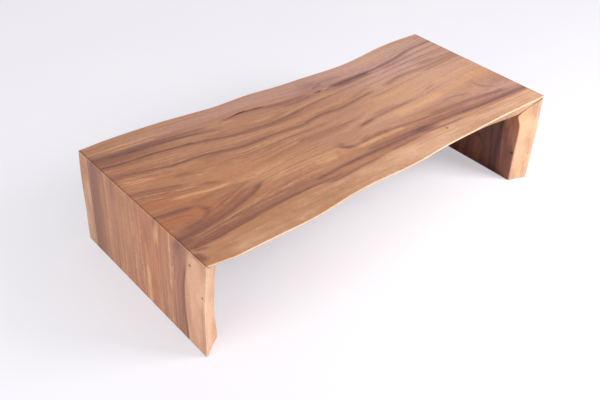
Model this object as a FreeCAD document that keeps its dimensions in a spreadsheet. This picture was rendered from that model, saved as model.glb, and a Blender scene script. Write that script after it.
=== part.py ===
import FreeCAD, Part
import math
import os
import Sketcher

# Coffee table made of one live-edge hardwood slab, cut in three and folded down at both ends.
# The two legs are mitred to the top at 45 degrees and held by hidden loose tenons.
# The table stands on the floor at z = 0, its length runs along x and its front faces -y.

# Driving dimensions in millimetres, and the number of tenons in a mitre.
SIZES = {
    "table_length": 1500,
    "table_height": 355,
    "slab_thickness": 74,
    "slab_width": 706,
    "edge_undercut": 60,
    "outer_arris_radius": 4,
    "inner_arris_radius": 6,
    "tenon_length": 80,
    "tenon_width": 42,
    "tenon_thickness": 14,
    "tenon_count": 6,
    "tenon_edge_wall": 14,
    "glue_gap": 0.15,
    "mortise_end_gap": 0.8,
    "cut_overrun": 20,
}

MITRE_ANGLE = 45

# Beside a mitre both edges of the slab's side run straight, so that the two cut faces match.
# The run, and the first pole of the curve after it, are shares of the slab's thickness.
MITRE_RUN_SHARE = 1.03
MITRE_LEAD_SHARE = 1.25

# How far a tenon's middle lies from the mitre's inner corner, as a share of the slab's thickness.
TENON_INSET_SHARE = 0.4

# The four corners where the top turns down into a leg, shared by both pieces.
# Each pair is how far the outer edge stands out, as a share of half the slab's width,
# and how far the inner edge stands back from it on the mitre, as a share of the undercut.
LEFT_FRONT_CORNER_SHARES = (1.0, 1.17)
LEFT_BACK_CORNER_SHARES = (1.005, 0.84)
RIGHT_FRONT_CORNER_SHARES = (0.91, 0.85)
RIGHT_BACK_CORNER_SHARES = (0.935, 0.73)

# The wavy edges of each piece. A row of points holds a place along the stretch between the
# straight runs, how far the outer edge stands out there, and how deep the undercut is, as shares
# of the stretch, of half the slab's width and of the undercut. The start and end hold the
# corner's or the foot's pair, and how much the edge widens along the straight run from its mitre.
# A leg's edges run on past the foot by the cut's overrun, and the saw takes them off at the floor.
TOP_FRONT_SHARES = {
    "start_shares": (*LEFT_FRONT_CORNER_SHARES, 0.15),
    "point_shares": [
        (0.06, 1.035, 1.30),
        (0.12, 1.035, 1.33),
        (0.18, 1.040, 1.37),
        (0.24, 1.030, 1.40),
        (0.30, 0.997, 1.43),
        (0.37, 0.974, 1.43),
        (0.44, 0.975, 1.43),
        (0.51, 0.986, 1.42),
        (0.57, 0.980, 1.38),
        (0.62, 0.957, 1.33),
        (0.68, 0.941, 1.25),
        (0.75, 0.934, 1.17),
        (0.82, 0.921, 1.11),
        (0.90, 0.911, 1.10),
    ],
    "end_shares": (*RIGHT_FRONT_CORNER_SHARES, 0.0),
}
TOP_BACK_SHARES = {
    "start_shares": (*LEFT_BACK_CORNER_SHARES, 0.05),
    "point_shares": [
        (0.07, 1.015, 0.90),
        (0.13, 1.005, 0.92),
        (0.20, 0.980, 0.95),
        (0.26, 0.950, 1.00),
        (0.31, 0.928, 1.00),
        (0.36, 0.932, 0.95),
        (0.42, 0.936, 0.92),
        (0.47, 0.908, 0.90),
        (0.53, 0.885, 0.88),
        (0.58, 0.883, 0.85),
        (0.64, 0.866, 0.85),
        (0.71, 0.849, 0.88),
        (0.78, 0.861, 0.90),
        (0.85, 0.900, 0.86),
        (0.92, 0.940, 0.80),
    ],
    "end_shares": (*RIGHT_BACK_CORNER_SHARES, 0.03),
}
LEFT_LEG_FRONT_SHARES = {
    "start_shares": (0.943, 0.84, 0.0),
    "point_shares": [
        (0.18, 0.959, 1.00),
        (0.36, 0.954, 1.17),
        (0.58, 0.949, 1.10),
        (0.80, 0.957, 1.00),
    ],
    "end_shares": (*LEFT_FRONT_CORNER_SHARES, -0.10),
}
LEFT_LEG_BACK_SHARES = {
    "start_shares": (1.022, 0.65, 0.0),
    "point_shares": [
        (0.18, 1.028, 0.70),
        (0.36, 1.022, 0.78),
        (0.58, 1.018, 0.85),
        (0.80, 1.026, 0.90),
    ],
    "end_shares": (*LEFT_BACK_CORNER_SHARES, 0.09),
}
RIGHT_LEG_FRONT_SHARES = {
    "start_shares": (*RIGHT_FRONT_CORNER_SHARES, 0.02),
    "point_shares": [
        (0.04, 0.916, 0.50),
        (0.16, 0.917, 0.36),
        (0.40, 0.917, 0.40),
        (0.65, 0.916, 0.40),
        (0.85, 0.914, 0.38),
    ],
    "end_shares": (0.910, 0.40, 0.0),
}
RIGHT_LEG_BACK_SHARES = {
    "start_shares": (*RIGHT_BACK_CORNER_SHARES, -0.02),
    "point_shares": [
        (0.10, 0.929, 0.68),
        (0.30, 0.925, 0.60),
        (0.55, 0.920, 0.52),
        (0.80, 0.914, 0.50),
    ],
    "end_shares": (0.905, 0.50, 0.0),
}

TURN_AXIS = FreeCAD.Vector(0, 1, 0)

document = FreeCAD.newDocument("coffee_table")
sheet = document.addObject("Spreadsheet::Sheet", "sizes")
for row, (alias, value) in enumerate(SIZES.items(), start=1):
    sheet.set(f"A{row}", alias)
    sheet.set(f"B{row}", str(value))
    sheet.setAlias(f"B{row}", alias)
document.recompute()


# Drawing

def new_drawing(body, name, role, along=None, turn=0):
    """An empty drawing on one of the body's base planes, moved along the plane's normal by an
    expression and turned about the drawing's own x axis."""
    sketch = body.newObject("Sketcher::SketchObject", name)
    plane = next(feature for feature in body.Origin.OriginFeatures if feature.Role == role)
    sketch.AttachmentSupport = [(plane, "")]
    sketch.MapMode = "FlatFace"
    turned = FreeCAD.Rotation(FreeCAD.Vector(1, 0, 0), turn)
    sketch.AttachmentOffset = FreeCAD.Placement(FreeCAD.Vector(), turned)
    if along:
        sketch.setExpression("AttachmentOffset.Base.z", along)
    return sketch


def point_at(sketch, place):
    """The point that a pair of expressions gives now."""
    x, y = (float(sketch.evalExpression(text)) for text in place)
    return FreeCAD.Vector(x, y, 0)


def pin(sketch, geometry, end, place):
    """Holds a point of the drawing at the place that a pair of expressions gives."""
    now = point_at(sketch, place)
    for kind, number, text in (("DistanceX", now.x, place[0]), ("DistanceY", now.y, place[1])):
        index = sketch.addConstraint(Sketcher.Constraint(kind, -1, 1, geometry, end, number))
        sketch.setExpression(f"Constraints[{index}]", text)


def join(sketch, first, first_end, second, second_end):
    """Makes two ends in the drawing meet."""
    sketch.addConstraint(Sketcher.Constraint("Coincident", first, first_end, second, second_end))


def draw_curve(sketch, places):
    """A smooth curve whose poles are held at the places."""
    curve = Part.BSplineCurve()
    curve.buildFromPoles([point_at(sketch, place) for place in places], False, 3)
    geometry = sketch.addGeometry(curve)
    sketch.exposeInternalGeometry(geometry)
    for number, place in enumerate(places, start=1):
        pin(sketch, geometry + number, 3, place)
    return geometry


def draw_run(sketch, corner, curve, end):
    """The straight run from a held corner to one end of the curve."""
    line = sketch.addGeometry(Part.LineSegment(point_at(sketch, corner), sketch.getPoint(curve, end)))
    pin(sketch, line, 1, corner)
    join(sketch, line, 2, curve, end)
    return line, 1


def draw_link(sketch, first, second):
    """A straight line between two free ends."""
    line = sketch.addGeometry(Part.LineSegment(sketch.getPoint(*first), sketch.getPoint(*second)))
    join(sketch, line, 1, *first)
    join(sketch, line, 2, *second)


def draw_polygon(sketch, places):
    """Straight lines round the held places."""
    lines = []
    for place, following in zip(places, places[1:] + places[:1]):
        ends = point_at(sketch, place), point_at(sketch, following)
        lines.append(sketch.addGeometry(Part.LineSegment(*ends)))
        pin(sketch, lines[-1], 1, place)
    for line, following in zip(lines, lines[1:] + lines[:1]):
        join(sketch, line, 2, following, 1)


def draw_slot(sketch, centre, width, thickness):
    """A slot with round ends, its long way along the drawing's x axis."""
    x, y = centre
    radius = f"({thickness}) / 2"
    half = f"(({width}) - ({thickness})) / 2"
    arcs = []
    for side, quarter in ((1, -1), (-1, 1)):
        place = (f"{x} + {side} * {half}", y)
        size = float(sketch.evalExpression(radius))
        circle = Part.Circle(point_at(sketch, place), FreeCAD.Vector(0, 0, 1), size)
        start = quarter * math.pi / 2
        arc = sketch.addGeometry(Part.ArcOfCircle(circle, start, start + math.pi))
        pin(sketch, arc, 3, place)
        index = sketch.addConstraint(Sketcher.Constraint("Radius", arc, size))
        sketch.setExpression(f"Constraints[{index}]", radius)
        arcs.append(arc)
    for first, second in (arcs, arcs[::-1]):
        line = sketch.addGeometry(Part.LineSegment(sketch.getPoint(first, 2), sketch.getPoint(second, 1)))
        sketch.addConstraint(Sketcher.Constraint("Tangent", first, 2, line, 1))
        sketch.addConstraint(Sketcher.Constraint("Tangent", line, 2, second, 1))


# Live edges

def edge_reach(reach, undercut, inner):
    """How far an edge stands from the middle line at one point."""
    text = f"sizes.slab_width / 2 * {reach}"
    if inner:
        text += f" - sizes.edge_undercut * {undercut}"
    return text


def run_reach(row, along, inner):
    """How far an edge stands from the middle line on the straight run beside a mitre. The inner
    edge keeps the outer one's slope and passes through the mitre's inner corner."""
    reach, undercut, widening = row
    text = f"{edge_reach(reach, undercut, inner)} + {along} * {widening}"
    if inner:
        text += f" - sizes.slab_thickness * {widening}"
    return text


def end_places(row, mitred, inner):
    """The places from one end of an edge inwards: the corner, the end of the straight run and the
    pole that keeps the curve in line with it, or at a foot the one place past the floor."""
    if not mitred:
        return [("(-sizes.cut_overrun)", edge_reach(row[0], row[1], inner))]
    run = f"sizes.slab_thickness * {MITRE_RUN_SHARE}"
    lead = f"sizes.slab_thickness * {MITRE_LEAD_SHARE}"
    return [(along, run_reach(row, along, inner)) for along in ("0", run, lead)]


def edge_places(length, shares, side, mitred, inner):
    """The places that one long edge follows, from the piece's start to its end."""
    start = end_places(shares["start_shares"], mitred[0], inner)
    end = end_places(shares["end_shares"], mitred[1], inner)
    opening = start[-1][0]
    stretch = f"(sizes.{length} - {opening} - {end[-1][0]})"
    middle = [(f"{opening} + {stretch} * {share}", edge_reach(reach, undercut, inner))
              for share, reach, undercut in shares["point_shares"]]
    ending = [(f"sizes.{length} - {along}", reach) for along, reach in reversed(end)]
    return [(along, f"{side} * ({reach})") for along, reach in start + middle + ending]


def draw_edge(sketch, places, mitred):
    """Draws one long edge and returns its two free ends."""
    first = 1 if mitred[0] else 0
    last = len(places) - (1 if mitred[1] else 0)
    curve = draw_curve(sketch, places[first:last])
    start = draw_run(sketch, places[0], curve, 1) if mitred[0] else (curve, 1)
    end = draw_run(sketch, places[-1], curve, 2) if mitred[1] else (curve, 2)
    return start, end


def draw_face(body, name, length, edges, mitred, inner):
    """The outline of a slab piece's outer or inner face, closed by straight lines at its ends."""
    sketch = new_drawing(body, name, "XY_Plane", "-sizes.slab_thickness" if inner else None)
    front, back = (draw_edge(sketch, edge_places(length, shares, side, mitred, inner), mitred)
                   for shares, side in zip(edges, (-1, 1)))
    for front_end, back_end in zip(front, back):
        draw_link(sketch, front_end, back_end)
    return sketch


# Slab pieces

def add_cut(body, name, sketch, depth=None, flipped=False):
    """Cuts a drawn shape out of a piece, to a depth or right through it both ways, and stops if
    the cut misses it."""
    before = body.Tip.Shape
    pocket = body.newObject("PartDesign::Pocket", name)
    pocket.Profile = sketch
    if depth:
        pocket.setExpression("Length", depth)
        pocket.Reversed = flipped
    else:
        pocket.Type = "ThroughAll"
        pocket.Midplane = True
    document.recompute()
    if not before.common(pocket.AddSubShape).Volume > 0:
        raise RuntimeError(f"{name} cut nothing")
    return pocket


def round_arrises(body, name, depth, radius):
    """Sands the long edges of the outer or inner face to a radius, but not the saw cuts."""
    base = body.Tip
    names = []
    for number, edge in enumerate(base.Shape.Edges, start=1):
        start, end = (vertex.Point for vertex in edge.Vertexes)
        level = max(abs(start.z + depth), abs(end.z + depth)) < edge.Length / sheet.table_length
        lengthwise = abs(end.x - start.x) > abs(end.y - start.y)
        if level and lengthwise:
            names.append(f"Edge{number}")
    fillet = body.newObject("PartDesign::Fillet", name)
    fillet.Base = (base, names)
    fillet.setExpression("Radius", f"sizes.{radius}")
    document.recompute()


def saw_end(body, name, corner, inward, mitred):
    """Saws an end off, at the mitre's angle or square. The corner is where the saw line meets the
    outer face, and the slab lies towards +x from it if inward is 1, or towards -x if it is -1."""
    over = "sizes.cut_overrun"
    deep = f"(sizes.slab_thickness + {over})"
    if mitred:
        outside = f"{corner} - {inward} * {over}"
        saw_line = [(outside, over), (f"{corner} + {inward} * {deep}", f"-{deep}")]
    else:
        outside = f"{corner} - {inward} * 2 * {over}"
        saw_line = [(outside, over), (corner, over), (corner, f"-{deep}")]
    sketch = new_drawing(body, f"{name}_saw_line", "XZ_Plane")
    draw_polygon(sketch, [*saw_line, (outside, f"-{deep}")])
    add_cut(body, name, sketch)


TENON_INSET = f"sizes.slab_thickness * {TENON_INSET_SHARE}"
TENON_SPAN = (
    f"(sizes.slab_width * {RIGHT_FRONT_CORNER_SHARES[0]}"
    f" - 2 * sizes.edge_undercut * {RIGHT_FRONT_CORNER_SHARES[1]}"
    " - sizes.tenon_width - 2 * sizes.tenon_edge_wall)"
)


def cut_mortises(body, name, corner, inward):
    """Mortises in a mitre's face, square to it, each a glue gap larger all round than its tenon."""
    sketch = new_drawing(body, f"{name}_outline", "YZ_Plane", corner, -inward * MITRE_ANGLE)
    centre = (f"-{TENON_SPAN} / 2", f"{TENON_INSET} - sizes.slab_thickness * sqrt(2)")
    draw_slot(sketch, centre, "sizes.tenon_width + 2 * sizes.glue_gap",
              "sizes.tenon_thickness + 2 * sizes.glue_gap")
    pocket = add_cut(body, name, sketch, "sizes.tenon_length / 2 + sizes.mortise_end_gap",
                     inward == 1)
    row = body.newObject("PartDesign::LinearPattern", f"{name}_row")
    row.Originals = [pocket]
    row.Direction = (sketch, ["H_Axis"])
    row.setExpression("Length", TENON_SPAN)
    row.setExpression("Occurrences", "sizes.tenon_count")
    body.Tip = row
    document.recompute()


def make_slab(name, length, edges, mitred):
    """A slab piece, its outer face up at z = 0 and the grain along x: the two faces' outlines
    joined by a ruled surface, with sanded arrises, a mitre with mortises or a foot at each end."""
    body = document.addObject("PartDesign::Body", name)
    outer = draw_face(body, f"{name}_outer_face", length, edges, mitred, False)
    inner = draw_face(body, f"{name}_inner_face", length, edges, mitred, True)
    loft = body.newObject("PartDesign::AdditiveLoft", f"{name}_block")
    loft.Profile = outer
    loft.Sections = [inner]
    loft.Ruled = True
    document.recompute()
    round_arrises(body, f"{name}_inner_arrises", sheet.slab_thickness, "inner_arris_radius")
    round_arrises(body, f"{name}_outer_arrises", 0, "outer_arris_radius")
    corners = ("0", f"sizes.{length}")
    for end, corner, inward, is_mitred in zip(("start", "end"), corners, (1, -1), mitred):
        saw_end(body, f"{name}_{end}_cut", corner, inward, is_mitred)
        if is_mitred:
            cut_mortises(body, f"{name}_{end}_mortises", corner, inward)
    return body


def put(body, turn, x, z, y="0"):
    """Turns a piece about the y axis and puts its own origin at the place."""
    body.Placement = FreeCAD.Placement(FreeCAD.Vector(), FreeCAD.Rotation(TURN_AXIS, turn))
    for axis, text in (("x", x), ("y", y), ("z", z)):
        body.setExpression(f"Placement.Base.{axis}", text)


LEFT_END = "-sizes.table_length / 2"
RIGHT_END = "sizes.table_length / 2"

# Top slab: the outer face is the table's top, and both ends are mitred.
top_slab = make_slab("top_slab", "table_length", (TOP_FRONT_SHARES, TOP_BACK_SHARES), (True, True))
put(top_slab, 0, LEFT_END, "sizes.table_height")

# Left leg slab: its grain runs up from the foot to the mitre, and its outer face looks left.
left_leg_slab = make_slab("left_leg_slab", "table_height",
                          (LEFT_LEG_FRONT_SHARES, LEFT_LEG_BACK_SHARES), (False, True))
put(left_leg_slab, -90, LEFT_END, "0")

# Right leg slab: its grain runs down from the mitre to the foot, and its outer face looks right.
right_leg_slab = make_slab("right_leg_slab", "table_height",
                           (RIGHT_LEG_FRONT_SHARES, RIGHT_LEG_BACK_SHARES), (True, False))
put(right_leg_slab, 90, RIGHT_END, "sizes.table_height")


# Loose tenons

def make_tenon(name):
    """A loose tenon with rounded sides, its length along x and its middle at the origin."""
    body = document.addObject("PartDesign::Body", name)
    sketch = new_drawing(body, f"{name}_section", "YZ_Plane")
    draw_slot(sketch, ("0", "0"), "sizes.tenon_width", "sizes.tenon_thickness")
    pad = body.newObject("PartDesign::Pad", f"{name}_length")
    pad.Profile = sketch
    pad.Midplane = True
    pad.setExpression("Length", "sizes.tenon_length")
    return body


def place_tenon(body, side, number):
    """Puts a tenon across the mitre at one end of the top, square to the sawn faces."""
    inset = f"({TENON_INSET} / sqrt(2))"
    x = f"{side} * (sizes.table_length / 2 - sizes.slab_thickness + {inset})"
    y = f"{TENON_SPAN} * ({number} / (sizes.tenon_count - 1) - 1 / 2)"
    z = f"sizes.table_height - sizes.slab_thickness + {inset}"
    put(body, side * MITRE_ANGLE, x, z, y)


tenons = []
for side, word in ((-1, "left"), (1, "right")):
    for number in range(int(sheet.tenon_count)):
        tenon = make_tenon(f"{word}_tenon_{number + 1}")
        place_tenon(tenon, side, number)
        tenons.append(tenon)

pieces = [top_slab, left_leg_slab, right_leg_slab, *tenons]
document.recompute()

for item in document.Objects:
    if "Invalid" in item.State or "Error" in item.State:
        raise RuntimeError(f"{item.Name} is {item.State}")
for piece in pieces:
    if piece.Shape.isNull() or not piece.Shape.isValid():
        raise RuntimeError(f"{piece.Label} has no valid shape")

os.makedirs("parts", exist_ok=True)
for piece in pieces:
    piece.Shape.exportStep(f"parts/{piece.Label}.step")
    box = piece.Shape.optimalBoundingBox()
    print(piece.Label, f"{len(piece.Shape.Solids)} solid", f"volume {piece.Shape.Volume:.0f}",
          f"x {box.XMin:.2f} to {box.XMax:.2f}", f"y {box.YMin:.2f} to {box.YMax:.2f}",
          f"z {box.ZMin:.2f} to {box.ZMax:.2f}")
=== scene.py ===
import math
import bpy
import numpy as np
from mathutils import Matrix, Vector


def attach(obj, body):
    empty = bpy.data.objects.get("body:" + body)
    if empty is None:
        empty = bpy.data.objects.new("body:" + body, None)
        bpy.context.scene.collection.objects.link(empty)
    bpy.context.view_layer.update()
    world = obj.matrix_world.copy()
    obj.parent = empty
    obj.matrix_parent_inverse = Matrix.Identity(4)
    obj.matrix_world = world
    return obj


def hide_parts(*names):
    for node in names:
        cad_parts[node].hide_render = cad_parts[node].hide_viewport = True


# A low coffee table of one thick live-edge board of raintree wood. The board is cut in three and
# folded down at both ends, so the figure runs up the left leg, along the top and down the right.
# Metres throughout: x along the table, y to the back, z up, with the floor at z = 0.

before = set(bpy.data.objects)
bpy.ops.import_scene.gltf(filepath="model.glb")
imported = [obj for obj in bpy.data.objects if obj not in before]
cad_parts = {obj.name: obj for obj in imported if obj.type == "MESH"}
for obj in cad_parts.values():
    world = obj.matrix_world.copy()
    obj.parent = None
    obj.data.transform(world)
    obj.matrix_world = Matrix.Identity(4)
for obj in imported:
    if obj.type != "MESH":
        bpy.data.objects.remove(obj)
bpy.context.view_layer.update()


# Camera
# It looks down over the left front corner from the eye height of someone standing, through a
# normal lens, and leans very slightly to the left.

CAMERA_PLACE = Vector((-1.6256, -1.6917, 1.7487))
CAMERA_AIM = Vector((-0.3153, -0.2140, 0.3000))
CAMERA_ROLL = math.radians(2.57)
LENS_MM = 48.51
SENSOR_MM = 36
VIEW_DISTANCE = 50

camera = bpy.data.objects.new("camera", bpy.data.cameras.new("camera"))
camera.data.lens = LENS_MM
camera.data.sensor_width = SENSOR_MM
camera.data.clip_end = VIEW_DISTANCE
camera.location = CAMERA_PLACE
level = (CAMERA_AIM - CAMERA_PLACE).to_track_quat("-Z", "Y").to_matrix()
camera.rotation_euler = (level @ Matrix.Rotation(CAMERA_ROLL, 3, "Z")).to_euler()
bpy.context.collection.objects.link(camera)
bpy.context.scene.camera = camera


# Top slab
# The flat middle length of the board, 74 mm thick. Both long edges are the tree's own edge, with
# the bark off and sanded, and lean in towards the underside. Both ends are mitred at 45 degrees.

TABLE_LENGTH = 1.500
TABLE_HEIGHT = 0.355
SLAB_THICKNESS = 0.074
HALF_WIDTH = 0.353
EDGE_UNDERCUT = 0.060
OUTER_ARRIS = 0.004
INNER_ARRIS = 0.006

# Beside a mitre both edges run straight, so that the two cut faces match. The edge's curve starts
# at the end of this run, and its next pole lies on the same line.
MITRE_RUN = 1.03 * SLAB_THICKNESS
MITRE_LEAD = 1.25 * SLAB_THICKNESS

# A leg's edges run on past the foot by this much, and the saw takes them off at the floor.
FOOT_RUN_ON = 0.020

# The four corners where the top turns down: how far the outer edge stands out, as a share of the
# half width, and how far the inner edge stands back from it, as a share of the undercut.
LEFT_FRONT_CORNER = (1.0, 1.17)
LEFT_BACK_CORNER = (1.005, 0.84)
RIGHT_FRONT_CORNER = (0.91, 0.76)
RIGHT_BACK_CORNER = (0.935, 0.73)

# Each edge: its first end, its points and its last end. A point has its place along the stretch
# between the straight runs at the mitres, and the two shares. An end has the two shares, how much
# the edge widens along the straight run from its mitre, and how much its inner corner does where
# that differs.
TOP_FRONT_EDGE = (
    (*LEFT_FRONT_CORNER, 0.15),
    [(0.06, 1.035, 1.30), (0.12, 1.035, 1.33), (0.18, 1.040, 1.37), (0.24, 1.030, 1.40),
     (0.30, 0.997, 1.43), (0.37, 0.974, 1.43), (0.44, 0.975, 1.43), (0.51, 0.986, 1.42),
     (0.57, 0.980, 1.38), (0.62, 0.957, 1.33), (0.68, 0.941, 1.25), (0.75, 0.934, 1.17),
     (0.82, 0.921, 1.11), (0.90, 0.911, 1.10)],
    (*RIGHT_FRONT_CORNER, 0.0),
)
TOP_BACK_EDGE = (
    (*LEFT_BACK_CORNER, 0.05),
    [(0.07, 1.015, 0.90), (0.13, 1.005, 0.92), (0.20, 0.980, 0.95), (0.26, 0.950, 1.00),
     (0.31, 0.928, 1.00), (0.36, 0.932, 0.95), (0.42, 0.936, 0.92), (0.47, 0.908, 0.90),
     (0.53, 0.885, 0.88), (0.58, 0.883, 0.85), (0.64, 0.866, 0.85), (0.71, 0.849, 0.88),
     (0.78, 0.861, 0.90), (0.85, 0.900, 0.86), (0.92, 0.940, 0.80)],
    (*RIGHT_BACK_CORNER, 0.03),
)

POINTS_PER_SPAN = 40


def smooth_line(poles):
    """The smooth curve that a row of poles pulls along, as a fine row of points."""
    poles = np.array(poles, float)
    spans = len(poles) - 3
    knots = np.concatenate([np.zeros(3), np.arange(spans + 1), np.full(3, spans)])
    at = np.linspace(0, spans, POINTS_PER_SPAN * spans + 1)
    span = np.minimum(at.astype(int), spans - 1) + 3
    held = [poles[span - 3 + n] for n in range(4)]
    for level in range(1, 4):
        for n in range(3, level - 1, -1):
            first = knots[span - 3 + n]
            share = (at - first) / (knots[span + 1 + n - level] - first)
            held[n] = held[n - 1] + share[:, None] * (held[n] - held[n - 1])
    return held[3]


def edge_reach(edge, length, mitred, inner):
    """How far an edge stands from the middle line, as a function of the place along the piece."""
    def reach(shares):
        return HALF_WIDTH * shares[0] - (EDGE_UNDERCUT * shares[1] if inner else 0)

    ends = []
    for row, is_mitred in zip((edge[0], edge[2]), mitred):
        if is_mitred:
            slope = row[3] if inner and len(row) > 3 else row[2]
            base = reach(row) - (SLAB_THICKNESS * slope if inner else 0)
            ends.append([(along, base + along * slope) for along in (0, MITRE_RUN, MITRE_LEAD)])
        else:
            ends.append([(-FOOT_RUN_ON, reach(row))])
    start, end = ends
    opening, closing = start[-1][0], end[-1][0]
    stretch = length - opening - closing
    poles = start[1:] if mitred[0] else list(start)
    poles += [(opening + stretch * at, reach(shares)) for at, *shares in edge[1]]
    poles += [(length - along, out) for along, out in (end[1:] if mitred[1] else end)[::-1]]
    line = smooth_line(poles)
    if mitred[0]:
        line = np.vstack([start[0], line])
    if mitred[1]:
        line = np.vstack([line, (length - end[0][0], end[0][1])])
    return lambda along: np.interp(along, line[:, 0], line[:, 1])


# The rows of points down an edge: five steps round the outer arris, then the sloping face, then
# four steps round the inner arris.
OUTER_STEPS, FACE_STEPS, INNER_STEPS = 5, 7, 4
EDGE_STEPS = OUTER_STEPS + FACE_STEPS + INNER_STEPS


def edge_section(outer, inner, ripple):
    """How far out and how deep each row of an edge lies, from the reach of the two corners at
    each row. The ripple is how far the sanded face stands back from a true plane."""
    slope = np.arctan2(SLAB_THICKNESS, outer - inner)
    out = np.empty_like(outer)
    deep = np.empty_like(outer)
    turn = np.pi / 2 - slope
    tangent_outer = OUTER_ARRIS / np.tan(slope / 2)
    tangent_inner = INNER_ARRIS * np.tan(slope / 2)
    for row in range(EDGE_STEPS + 1):
        lean, outmost, inmost = turn[..., row], outer[..., row], inner[..., row]
        long_outer, long_inner = tangent_outer[..., row], tangent_inner[..., row]
        if row <= OUTER_STEPS:
            angle = -np.pi / 2 + (lean + np.pi / 2) * row / OUTER_STEPS
            out[..., row] = outmost - long_outer + OUTER_ARRIS * np.cos(angle)
            deep[..., row] = OUTER_ARRIS * (1 + np.sin(angle))
        elif row >= OUTER_STEPS + FACE_STEPS:
            angle = lean + (np.pi / 2 - lean) * (row - OUTER_STEPS - FACE_STEPS) / INNER_STEPS
            out[..., row] = inmost - long_inner + INNER_ARRIS * np.cos(angle)
            deep[..., row] = SLAB_THICKNESS - INNER_ARRIS * (1 - np.sin(angle))
        else:
            share = (row - OUTER_STEPS) / FACE_STEPS
            from_outer = long_outer * np.sin(slope[..., row])
            from_inner = long_inner * np.sin(slope[..., row])
            level = from_outer + (SLAB_THICKNESS - from_outer - from_inner) * share
            back = ripple[..., row] * np.sin(np.pi * share)
            plane = outmost + (inmost - outmost) * level / SLAB_THICKNESS
            out[..., row] = plane - back * np.cos(lean)
            deep[..., row] = level - back * np.sin(lean)
    return out, deep


# Growth lines of the board laid flat. "Along" runs from the left foot at -0.355 over the mitres
# at 0 and 1.5 to the right foot at 1.855. "Across" runs forward from a line 0.38 behind the
# middle. Each line follows one ring, and the fine grain runs with them.
ACROSS_DATUM = 0.380
GROWTH_LINES = [
    [(-.355, .024), (0, .031), (.18, .026), (.36, .040), (.50, .057), (.62, .054), (.75, .071),
     (.90, .074), (1.05, .083), (1.20, .070), (1.35, .049), (1.5, .053), (1.855, .062)],
    [(-.355, .103), (-.2, .107), (0, .110), (.06, .118), (.20, .130), (.34, .148), (.44, .157),
     (.56, .148), (.64, .160), (.72, .178), (.85, .191), (1.0, .188), (1.1, .187), (1.2, .175),
     (1.3, .155), (1.4, .138), (1.5, .134), (1.855, .125)],
    [(-.355, .158), (0, .163), (.1, .180), (.2, .187), (.3, .203), (.4, .235), (.5, .251),
     (.6, .262), (.7, .253), (.8, .238), (.95, .232), (1.1, .223), (1.25, .214), (1.5, .204),
     (1.855, .200)],
    [(-.355, .225), (0, .228), (.1, .252), (.2, .277), (.3, .285), (.4, .310), (.5, .318),
     (.68, .333), (.76, .318), (.84, .325), (.96, .306), (1.1, .293), (1.25, .281), (1.5, .270),
     (1.855, .260)],
    [(-.355, .330), (0, .335), (.1, .365), (.2, .405), (.3, .430), (.45, .420), (.6, .400),
     (.72, .405), (.85, .395), (1.0, .372), (1.2, .350), (1.35, .330), (1.5, .318),
     (1.855, .310)],
    [(-.355, .460), (0, .465), (.1, .475), (.2, .480), (.35, .487), (.5, .470), (.65, .470),
     (.75, .490), (.83, .452), (.95, .435), (1.1, .430), (1.25, .410), (1.4, .400), (1.5, .395),
     (1.855, .390)],
    [(-.355, .556), (-.15, .560), (0, .588), (.1, .586), (.2, .570), (.3, .545), (.4, .520),
     (.5, .515), (.6, .520), (.7, .530), (.85, .528), (1.0, .542), (1.15, .555), (1.3, .562),
     (1.5, .573), (1.855, .580)],
    [(-.355, .590), (-.25, .584), (-.15, .586), (-.05, .608), (0, .622), (.15, .618), (.3, .603),
     (.45, .595), (.6, .592), (.75, .590), (.9, .585), (1.05, .592), (1.2, .600), (1.35, .608),
     (1.5, .612), (1.855, .610)],
    [(-.355, .622), (-.3, .619), (-.25, .613), (-.2, .611), (-.15, .613), (-.11, .620),
     (-.05, .631), (0, .635), (.015, .646), (.1, .648), (.2, .641), (.3, .632), (.4, .627),
     (.5, .631), (.56, .639), (.64, .632), (.75, .629), (.9, .622), (1.0, .622), (1.1, .628),
     (1.2, .631), (1.3, .630), (1.5, .630), (1.62, .630), (1.70, .637), (1.78, .647),
     (1.855, .655)],
    [(-.355, .708), (-.2, .711), (-.1, .716), (0, .727), (.1, .739), (.2, .741), (.35, .740),
     (.45, .731), (.55, .719), (.75, .721), (.9, .712), (1.0, .706), (1.2, .698), (1.5, .697),
     (1.855, .700)],
]
# Where the rings come up to the face in closed loops: the oval at the left mitre, the tongue in
# the middle, the swirl beside the knot and the loop at the right. Place, half length, half width
# and how strongly the grain bends round them.
GROWTH_EYES = [
    (-0.02, 0.520, 0.23, 0.045, 0.060),
    (0.790, 0.495, 0.14, 0.030, 0.030),
    (0.885, 0.168, 0.030, 0.018, 0.022),
    (0.545, 0.147, 0.060, 0.006, 0.006),
    (1.500, 0.480, 0.16, 0.060, 0.018),
    (0.830, 0.308, 0.035, 0.014, 0.008),
]


# Lines are read every 2.5 mm over the board and a little past it, and a corner in one is eased
# over this many readings.
BOARD_PLACES = np.linspace(-0.45, 1.95, 961)
EASED_OVER = 15


def along_line(points, along):
    """A line's place across the board at each place along it, with its corners eased."""
    line = np.interp(BOARD_PLACES, *np.array(points).T)
    window = np.hanning(EASED_OVER)
    padded = np.pad(line, EASED_OVER // 2, mode="edge")
    eased_line = np.convolve(padded, window / window.sum(), mode="valid")
    return np.interp(along, BOARD_PLACES, eased_line)


def growth(along, across):
    """The ring that each point lies on, named by the ring's usual place across the board."""
    lines = np.stack([along_line(points, along) for points in GROWTH_LINES])
    names = [np.mean([point[1] for point in points]) for points in GROWTH_LINES]
    ring = names[0] + np.minimum(across - lines[0], 0) + np.maximum(across - lines[-1], 0)
    for line, beyond, name, next_name in zip(lines, lines[1:], names, names[1:]):
        ring += (next_name - name) * np.clip((across - line) / (beyond - line), 0, 1)
    for x, y, long, wide, bend in GROWTH_EYES:
        ring += bend * np.exp(-((along - x) / long) ** 2 - ((across - y) / wide) ** 2)
    return ring


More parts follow.
